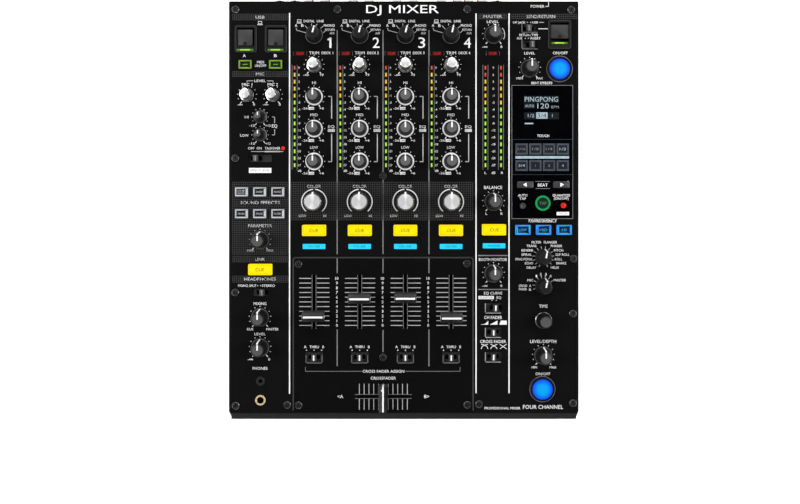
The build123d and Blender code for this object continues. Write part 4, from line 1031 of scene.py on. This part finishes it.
for text, x, y, width in (
    ("FILTER", 125.9, -33.3, 9.0), ("FLANGER", 139.2, -33.3, 12.5), ("TRANS", 121.3, -36.8, 9.4),
    ("PHASER", 145.0, -36.8, 10.8), ("REVERB", 117.2, -41.0, 11.0), ("PITCH", 146.9, -41.0, 8.7),
    ("SPIRAL", 116.6, -45.0, 9.7), ("SLIP ROLL", 150.6, -45.0, 13.2), ("PING PONG", 114.0, -49.4, 15.7),
    ("ROLL", 146.9, -49.4, 7.0), ("ECHO", 118.9, -53.2, 7.7), ("BRAKE", 149.5, -53.2, 9.4),
    ("DELAY", 121.2, -57.4, 9.0), ("HELIX", 143.5, -57.3, 7.7), ("1", 125.9, -65.4, 1.3), ("2", 130.0, -63.5, 1.8),
    ("3", 134.9, -63.7, 1.8), ("4", 139.2, -65.4, 1.9), ("MIC", 120.1, -69.3, 5.6), ("CROSS", 113.1, -74.6, 8.0),
    ("A", 119.9, -74.6, 2.0), ("FADER", 113.1, -77.8, 7.7), ("B", 119.9, -78.3, 2.0), ("MASTER", 148.1, -69.3, 11.5),
):
    words(legend, text, x, y, 2.2, WHITE, width)
for x, y, first, count in ((132.5, -47.3, -156, 14), (132.5, -74.9, -108, 8)):
    for step in range(count):
        dots(legend, x, y, 9.1, first + 24 * step, first + 24 * step, 24, (first + 24 * step,), LIGHT, 0.5)

for x, y in ((85.2, 163.8), (85.2, 5.2), (85.2, -62.9), (-136.4, -31.4), (-136.4, -104.6), (-136.4, -133.2),
             (119.5, 131.8), (132.5, -140.7)):
    dots(legend, x, y, 10.3, -140, 140, 28, (-140, 140), size=0.7)
    # A thin grey ring just outside each knob's skirt: a painted highlight on the skirt edge, laid down in grey ink.
    drop_in(legend, ring(8.3, 0.3, INK_LOW, INK_TOP, GREY, 48), x, y)
drop_in(legend, ring(10.6, 0.7, INK_LOW, INK_TOP, LIGHT, 16, 60, 55), 85.2, 163.8)
piece(legend, "panel_legend_and_painted_highlights", "chassis", INKS, recalc=False)
print("panel legend printed")

# %% [markdown]
# ## Legends on the fader plate
# Each fader has eleven scale lines on both sides of its slot, numbered between the channels, so that
# a level can be found again.

# %%
plate = new_bm()
for number, x in enumerate(channel_x):
    for step in range(11):
        y = -67.6 - 4.46 * step
        stroke(plate, (x - 14.0, y), (x - 2.6, y), 0.62, LIGHT)
        stroke(plate, (x + 2.6, y), (x + 14.6, y), 0.62, LIGHT)
    for hand in (-1, 1):
        bar(plate, x + hand * 1.9, -89.9, 0.4, 51.2, GREY)
    words(plate, "A   THRU   B", x, -132.6, 2.4, WHITE, 19.0)
    for spot in (-7.2, 0.0, 7.2):
        bar(plate, x + spot, -135.8, 0.9, 0.9, WHITE)
    bar(plate, x, -147.9, 14.0, 0.5, GREY)
    for side in (-7.6, 7.6):
        bar(plate, x + side, -144.0, 0.5, 7.0, GREY)
for x in (-63.5, -20.1, 23.2):
    for step in range(11):
        words(plate, str(10 - step), x, -67.6 - 4.46 * step, 2.6, WHITE)
for x in (-63.2, -19.7, 23.9):
    bar(plate, x, -55.7, 0.9, 13.9, GREY)
    if x != -19.7:
        bar(plate, x, -133.5, 0.9, 34.8, GREY)
bar(plate, -19.7, -127.0, 0.9, 21.0, GREY)
for left, right in ((-93.4, -40.0), (1.4, 53.5)):
    stroke(plate, (left, -155.8), (right, -155.8), 0.4, GREY)
words(plate, "CROSS FADER ASSIGN", -19.3, -155.8, 2.5, WHITE, 39.4)
for x in (-93.4, 53.5):
    bar(plate, x, -153.8, 0.4, 4.0, GREY)
words(plate, "CROSSFADER", -19.4, -162.3, 2.6, WHITE, 24.0)
for step in range(11):
    x = -19.4 + (step - 5) * 4.55
    stroke(plate, (x, -167.7), (x, -177.6), 0.62, LIGHT)
    stroke(plate, (x, -181.8), (x, -192.2), 0.62, LIGHT)
for hand in (-1, 1):
    bar(plate, -19.4, -179.7 + hand * 1.9, 53.7, 0.4, GREY)
words(plate, "<A", -60.2, -179.7, 3.0, WHITE)
words(plate, "B>", 21.7, -179.7, 3.0, WHITE)
piece(plate, "plate_legend", "chassis", INKS, recalc=False)
# A dark grey ink line along the left, rear and right edges of the fader plate, lighter than the steel on both sides: a
# painted highlight on the plate's edge.
plate_edge_highlight_lines = new_bm()
for x in (-104.9, 65.8):
    stroke(plate_edge_highlight_lines, (x, -193.0), (x, -50.6), 1.2, DARK)
stroke(plate_edge_highlight_lines, (-102.9, -47.9), (63.8, -47.9), 1.2, DARK)
for x, start in ((-102.3, 270), (63.2, 0)):
    drop_in(plate_edge_highlight_lines, ring(2.6, 1.2, INK_LOW, INK_TOP, DARK, 8, start, 90), x, -50.5)
piece(plate_edge_highlight_lines, "plate_edge_painted_highlight", "chassis", INKS, recalc=False)
print("fader plate legend printed")

# %% [markdown]
# ## The display glass
# Behind the black glass are a pale pixel display, a touch strip with eight beat keys, and printed
# words. They are set just proud of the glass here, since nothing behind real black glass could be seen
# when it is unlit.

# %%
face = new_bm()
low = GLASS_TOP
outline(face, 102.6, 160.4, -10.9, 115.6, 0.4, 1, low, low + 0.04)
bar(face, 130.6, 102.4, 33.0, 6.4, 6, low, low + 0.02)
words(face, "PINGPONG", 130.6, 102.4, 4.6, 3, 31.6, low + 0.04)
bar(face, 119.4, 96.1, 10.4, 5.0, 6, low, low + 0.02)
words(face, "AUTO", 119.4, 96.1, 2.4, 3, 8.6, low + 0.04)
words(face, "120", 132.3, 96.1, 4.8, 3, 11.0, low + 0.02)
words(face, "BPM", 143.5, 95.1, 2.6, 1, 7.2, low + 0.02)
bar(face, 130.7, 86.7, 33.1, 6.6, 6, low, low + 0.02)
words(face, "1/2", 120.8, 86.9, 3.0, 3, 6.0, low + 0.04)
bar(face, 131.1, 87.0, 10.7, 6.0, 3, low, low + 0.04)
words(face, "3/4", 131.1, 87.0, 4.2, 5, 8.4, low + 0.06)
words(face, "1", 141.0, 86.9, 3.0, 3, None, low + 0.04)
bar(face, 118.9, 79.4, 8.2, 1.2, 3, low, low + 0.04)
words(face, "TOUCH", 132.2, 67.7, 2.4, 0, 11.6, low + 0.02)
outline(face, 103.1, 160.6, 30.9, 64.3, 0.4, 2, low, low + 0.04)
keys = (("1/16", "1/8", "1/4", "1/2"), ("3/4", "1", "2", "4"))
for row, (y, length) in enumerate(((55.2, 10.6), (39.5, 10.2))):
    for column, text in enumerate(keys[row]):
        x = 111.9 + column * 13.0
        bar(face, x, y, 11.8, length, 7, low, low + 0.02)
        bar(face, x, y, 8.4, length - 3.4, 8, low + 0.02, low + 0.04)
        bright = text in ("1/2", "3/4", "4")
        words(face, text, x, y, 2.4, 3 if bright else 1, 3.4 + len(text) * 0.9 if len(text) > 1 else None, low + 0.06)
bar(face, 131.4, 47.3, 50.9, 2.4, 3, low, low + 0.04)
words(face, "BEAT", 131.9, 21.0, 2.8, 0, 9.3, low + 0.02)
for y in (24.3, 17.7):
    bar(face, 132.0, y, 14.0, 0.4, 1, low, low + 0.04)
for text, x, y, width in (("AUTO", 112.9, 11.2, 8.9), ("TAP", 112.9, 8.1, 6.4), ("QUANTIZE", 149.5, 11.2, 16.6),
                          ("(ON/OFF)", 149.5, 8.2, 14.0)):
    words(face, text, x, y, 2.2, 0, width, low + 0.02)
bar(face, 151.0, -6.1, 11.8, 3.1, 0, low, low + 0.04)
words(face, "TOUCH", 151.0, -6.1, 1.7, 5, 8.0, low + 0.05, thick=0.02)
piece(face, "glass_legend", "chassis", (white_ink, grey_ink, dim_pixels, pale_pixels, dark_cap, black_ink,
                                          screen_grey, key_glow, key_face),
      recalc=False)
print("display and touch keys drawn")

# %% [markdown]
# ## The back
# The rear is closed by a plate full of sockets. The words above them are printed in the same ink,
# facing backwards, so they are laid out on a plane that is turned to face the rear.

# %%
facing_rear = Matrix(((-1, 0, 0, 0), (0, 0, 1, 194.9), (0, 1, 0, 0), (0, 0, 0, 1)))
back = new_bm()
for text, x, z, height in (
    ("SEND", 120.5, 80.6, 2.4), ("RETURN", 106.0, 80.6, 2.4), ("BOOTH", -91.0, 80.6, 2.4), ("MASTER 2", -63.5, 80.6, 2.4),
    ("REC", -77.0, 80.6, 2.4), ("CH 1", 85.15, 80.6, 2.6), ("CH 2", 41.8, 80.6, 2.6), ("CH 3", -1.55, 80.6, 2.6),
    ("CH 4", -44.9, 80.6, 2.6), ("MIC 1", 144.0, 80.6, 2.4), ("MIC 2", 144.0, 41.0, 2.4), ("SIGNAL GND", 111.5, 39.0, 2.2),
    ("MASTER 1", -108.0, 48.4, 2.2), ("LINK", 63.5, 41.6, 2.4), ("MIDI OUT", 20.2, 41.6, 2.4), ("AC IN", -147.0, 45.6, 2.4),
    ("POWER", -127.4, 75.4, 2.4), ("DIGITAL IN", 85.15, 39.6, 2.0), ("DIGITAL IN", 41.8, 39.6, 2.0),
    ("DIGITAL IN", -1.55, 39.6, 2.0), ("DIGITAL IN", -44.9, 39.6, 2.0),
):
    words(back, text, x, z, height, 0, z=0.02, tilt=facing_rear)
for c in channel_x:
    words(back, "LINE", -c, 62.6, 1.8, 0, z=0.02, tilt=facing_rear)
piece(back, "rear_legend", "chassis", INKS, recalc=False)
print("rear legend printed")

# %% [markdown]
# ## Studio
# The mixer is photographed from straight above on a pale floor. Wide soft lights stand low at the
# sides: from there they light the sides of the knobs, and the flat panel reflects them away from the
# camera, which keeps it deep black. The room is bright along its walls and dark overhead, because
# what hangs overhead is what a flat black panel and a glass window would mirror.

# %%
floor_material = grained("seamless_paper", "f4f4f4", "f8f8f8", (0.7, 0.8), 40.0, 0.02,
                         **{"Emission Color": linear("ffffff"), "Emission Strength": 0.6})
ground = bmesh.new()
bmesh.ops.create_grid(ground, x_segments=8, y_segments=8, size=3.0)
floor_mesh = bpy.data.meshes.new("studio_floor")
ground.to_mesh(floor_mesh)
ground.free()
floor_mesh.materials.append(floor_material)
floor = bpy.data.objects.new("studio_floor", floor_mesh)
scene.collection.objects.link(floor)

world = bpy.data.worlds.new("studio")
world.use_nodes = True
scene.world = world
sky = world.node_tree
direction = add_node(sky, "TexCoord")
apart = add_node(sky, "SeparateXYZ", None, {"Vector": (direction, "Generated")})
height = add_node(sky, "MapRange", {"From Min": 0.35, "From Max": 0.85, "To Min": 0.6, "To Max": 0.01},
                  {"Value": (apart, "Z")})
sky.links.new(height.outputs["Result"], sky.nodes["Background"].inputs["Strength"])
sky.nodes["Background"].inputs["Color"].default_value = linear("ffffff")


def soft_light(name, place, aim, size, power):
    """A rectangular area light that looks at a point."""
    data = bpy.data.lights.new(name, "AREA")
    data.shape = "RECTANGLE"
    data.size, data.size_y = size
    data.energy = power
    lamp = bpy.data.objects.new(name, data)
    lamp.location = place
    lamp.rotation_euler = (Vector(aim) - Vector(place)).to_track_quat("-Z", "Y").to_euler()
    scene.collection.objects.link(lamp)


soft_light("left_softbox", (-1.1, 0.1, 0.75), (0, 0, 0.05), (0.5, 1.2), 14.0)
soft_light("right_softbox", (1.1, 0.1, 0.75), (0, 0, 0.05), (0.5, 1.2), 14.0)
soft_light("rear_softbox", (0.0, 1.2, 0.9), (0, 0, 0.05), (1.4, 0.5), 16.0)
soft_light("front_softbox", (0.0, -1.2, 0.7), (0, 0, 0.05), (1.4, 0.4), 8.0)

camera_data = bpy.data.cameras.new("camera")
camera_data.lens = 40.3
camera_data.sensor_width = 36.0
camera_data.shift_x = -0.0047
camera_data.shift_y = -0.065
camera = bpy.data.objects.new("camera", camera_data)
camera.location = (0.0, 0.0068, 0.9405)
scene.collection.objects.link(camera)
scene.camera = camera
scene.view_settings.view_transform = "Standard"
print("lights and camera set")
